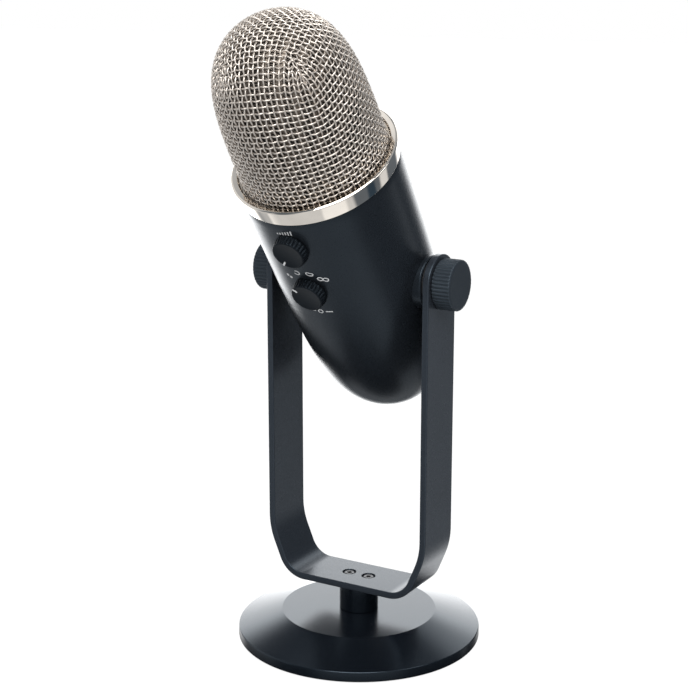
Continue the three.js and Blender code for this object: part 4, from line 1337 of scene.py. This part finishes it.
# The studio as the object reflects it, in degrees. Azimuth is from straight behind the object, positive to
# the right. Each panel: its azimuths, its elevations, the softness of its edges and its brightness.
PANELS = [
    (-36, 29, -32, 30, 8, 2.9),  # the lit backdrop
    (-36, 29, 19, 30, 5, 0.6),  # its upper part
    (-42, -12, -32, -12, 6, 1.2),  # its lower left
    (26, 50, 30, 44, 7, 2.6),  # a panel above it on the right
    (22, 44, -42, -26, 5, 1.4),  # the floor it lights on the right
    (-118, -103, -19, 8, 4, 0.9),  # a panel low on the left
    (-96, -38, -50, 60, 10, 0.6),  # the wall on the left
    (140, 200, -45, 25, 12, 0.6),  # the camera's side, right of the lens
    (-200, -140, -45, 25, 12, 0.6),  # and left of it
    (56, 66.5, -36, -8, 1.5, 0.62),  # a narrow strip on the right
    (71.5, 80.5, -37.5, -28.5, 1.5, -0.09),  # a dark gap beside it
    (-200, 200, -100, -49, 2, 0.52),  # the white table below
    (98, 124, -79, -55, 2, 0.35),  # its brightest part
]
DARK_STUDIO = (0.12, 0.14, 0.165)


def aimed(name, data, place, direction):
    """A camera or a lamp in the scene, looking along a direction."""
    looking = linked(name, data)
    looking.location = place * MM
    looking.rotation_mode = "QUATERNION"
    looking.rotation_quaternion = direction.to_track_quat("-Z", "Y")
    return looking


def build_camera():
    data = bpy.data.cameras.new("camera")
    data.sensor_width = SENSOR
    data.lens = LENS
    data.clip_start = 10 * MM
    target = RIGHTWARD * TARGET_SHIFT + UPWARD * TARGET_HEIGHT
    bpy.context.scene.camera = aimed("camera", data, target + BACKWARD * CAMERA_DISTANCE, -BACKWARD)


def softbox(name, right, forward, up, size, power):
    """A square lamp, placed from the point that the lamps face and aimed back at it."""
    data = bpy.data.lights.new(name, "AREA")
    data.shape = "SQUARE"
    data.size = size * MM
    data.energy = power
    offset = RIGHTWARD * right + TOWARD_CAMERA * forward + UPWARD * up
    aimed(name, data, UPWARD * LAMPS_AIM + offset, -offset)


def surroundings(nodes):
    """The studio's colour along the ray that is being shaded."""
    incoming = nodes.add("NewGeometry").outputs["Incoming"]
    directions = (-RIGHTWARD, TOWARD_CAMERA, -UPWARD)
    right, behind, above = (nodes.vector("DOT_PRODUCT", incoming, direction)[1] for direction in directions)
    azimuth = nodes.math("MULTIPLY", nodes.math("ARCTAN2", right, behind), 180 / pi)
    elevation = nodes.math("MULTIPLY", nodes.math("ARCSINE", above), 180 / pi)
    light = 0.0
    for first, last, low, high, soft, power in PANELS:
        share = power
        for value, start, end in ((azimuth, first, last), (elevation, low, high)):
            rise = nodes.spread(value, 0, 1, start - soft, start + soft, "SMOOTHSTEP")
            fall = nodes.spread(value, 1, 0, end - soft, end + soft, "SMOOTHSTEP")
            share = nodes.math("MULTIPLY", share, nodes.math("MULTIPLY", rise, fall))
        light = nodes.math("ADD", light, share)
    return nodes.vector("ADD", nodes.grey(light), DARK_STUDIO)[0]


def build_stage():
    """A pale floor, plain white to the camera. In reflections it glows as the studio, with a painted shadow
    by the stand.
    """
    corners = [(x * FLOOR_REACH, y * FLOOR_REACH, 0) for x, y in SQUARE]
    floor = moved(solid(corners, [[0, 1, 2, 3]]), Matrix.Scale(MM, 4))
    floor.name = "floor"
    finish = Finish("pale_floor")
    paper = finish.grey(finish.spread(finish.noise(0.02, detail=2), 0.84, 0.88))
    finish.set(base_color=paper, roughness=0.6)
    from_stand = finish.vector("LENGTH", finish.place)[1]
    # painted shadow: the studio that the floor reflects is darkened round the stand's base
    painted_stand_shadow = finish.spread(from_stand, 0.12, 1, BASE_RADIUS, BASE_RADIUS * 1.3)
    mirror = {"Color": surroundings(finish), "Strength": painted_stand_shadow}
    reflected = finish.add("Emission", mirror).outputs[0]
    white = finish.add("Emission", {"Color": (1, 1, 1), "Strength": 1.1}).outputs[0]
    path = finish.add("LightPath").outputs
    seen = finish.math("MULTIPLY", path["Is Camera Ray"], 0.82)
    shown = finish.add("MixShader", {0: seen, 1: finish.shader.outputs[0], 2: white}).outputs[0]
    mirrored = finish.add("MixShader", {0: path["Is Glossy Ray"], 1: shown, 2: reflected}).outputs[0]
    finish.feed(finish.tree.nodes["Material Output"].inputs[0], mirrored)
    floor.data.materials.append(finish.material)


def build_world():
    """White for the camera, an even fill for rough surfaces, and the studio for reflections."""
    world = bpy.data.worlds.new("studio")
    bpy.context.scene.world = world
    world.use_nodes = True
    nodes = Nodes(world.node_tree)
    path = nodes.add("LightPath").outputs
    plain = nodes.grey(nodes.math("MULTIPLY_ADD", path["Is Camera Ray"], 1 - FILL, FILL))
    choice = {0: path["Is Glossy Ray"], 4: plain, 5: surroundings(nodes)}
    shown = nodes.add("Mix", choice, data_type="VECTOR").outputs[1]
    nodes.feed(world.node_tree.nodes["Background"].inputs["Color"], shown)


def build_lights():
    softbox("key_softbox", right=-100, forward=750, up=900, size=800, power=14)
    softbox("top_softbox", right=0, forward=-200, up=1200, size=1200, power=1.2)
    softbox("right_softbox", right=900, forward=500, up=900, size=500, power=3)


build_base()
build_fork()
build_tilt_axis()
build_body()
build_head()
build_controls()
build_marks()
build_bottom()
dress_inner_parts()
build_camera()
build_stage()
build_world()
build_lights()
bpy.context.scene.view_settings.view_transform = "Standard"
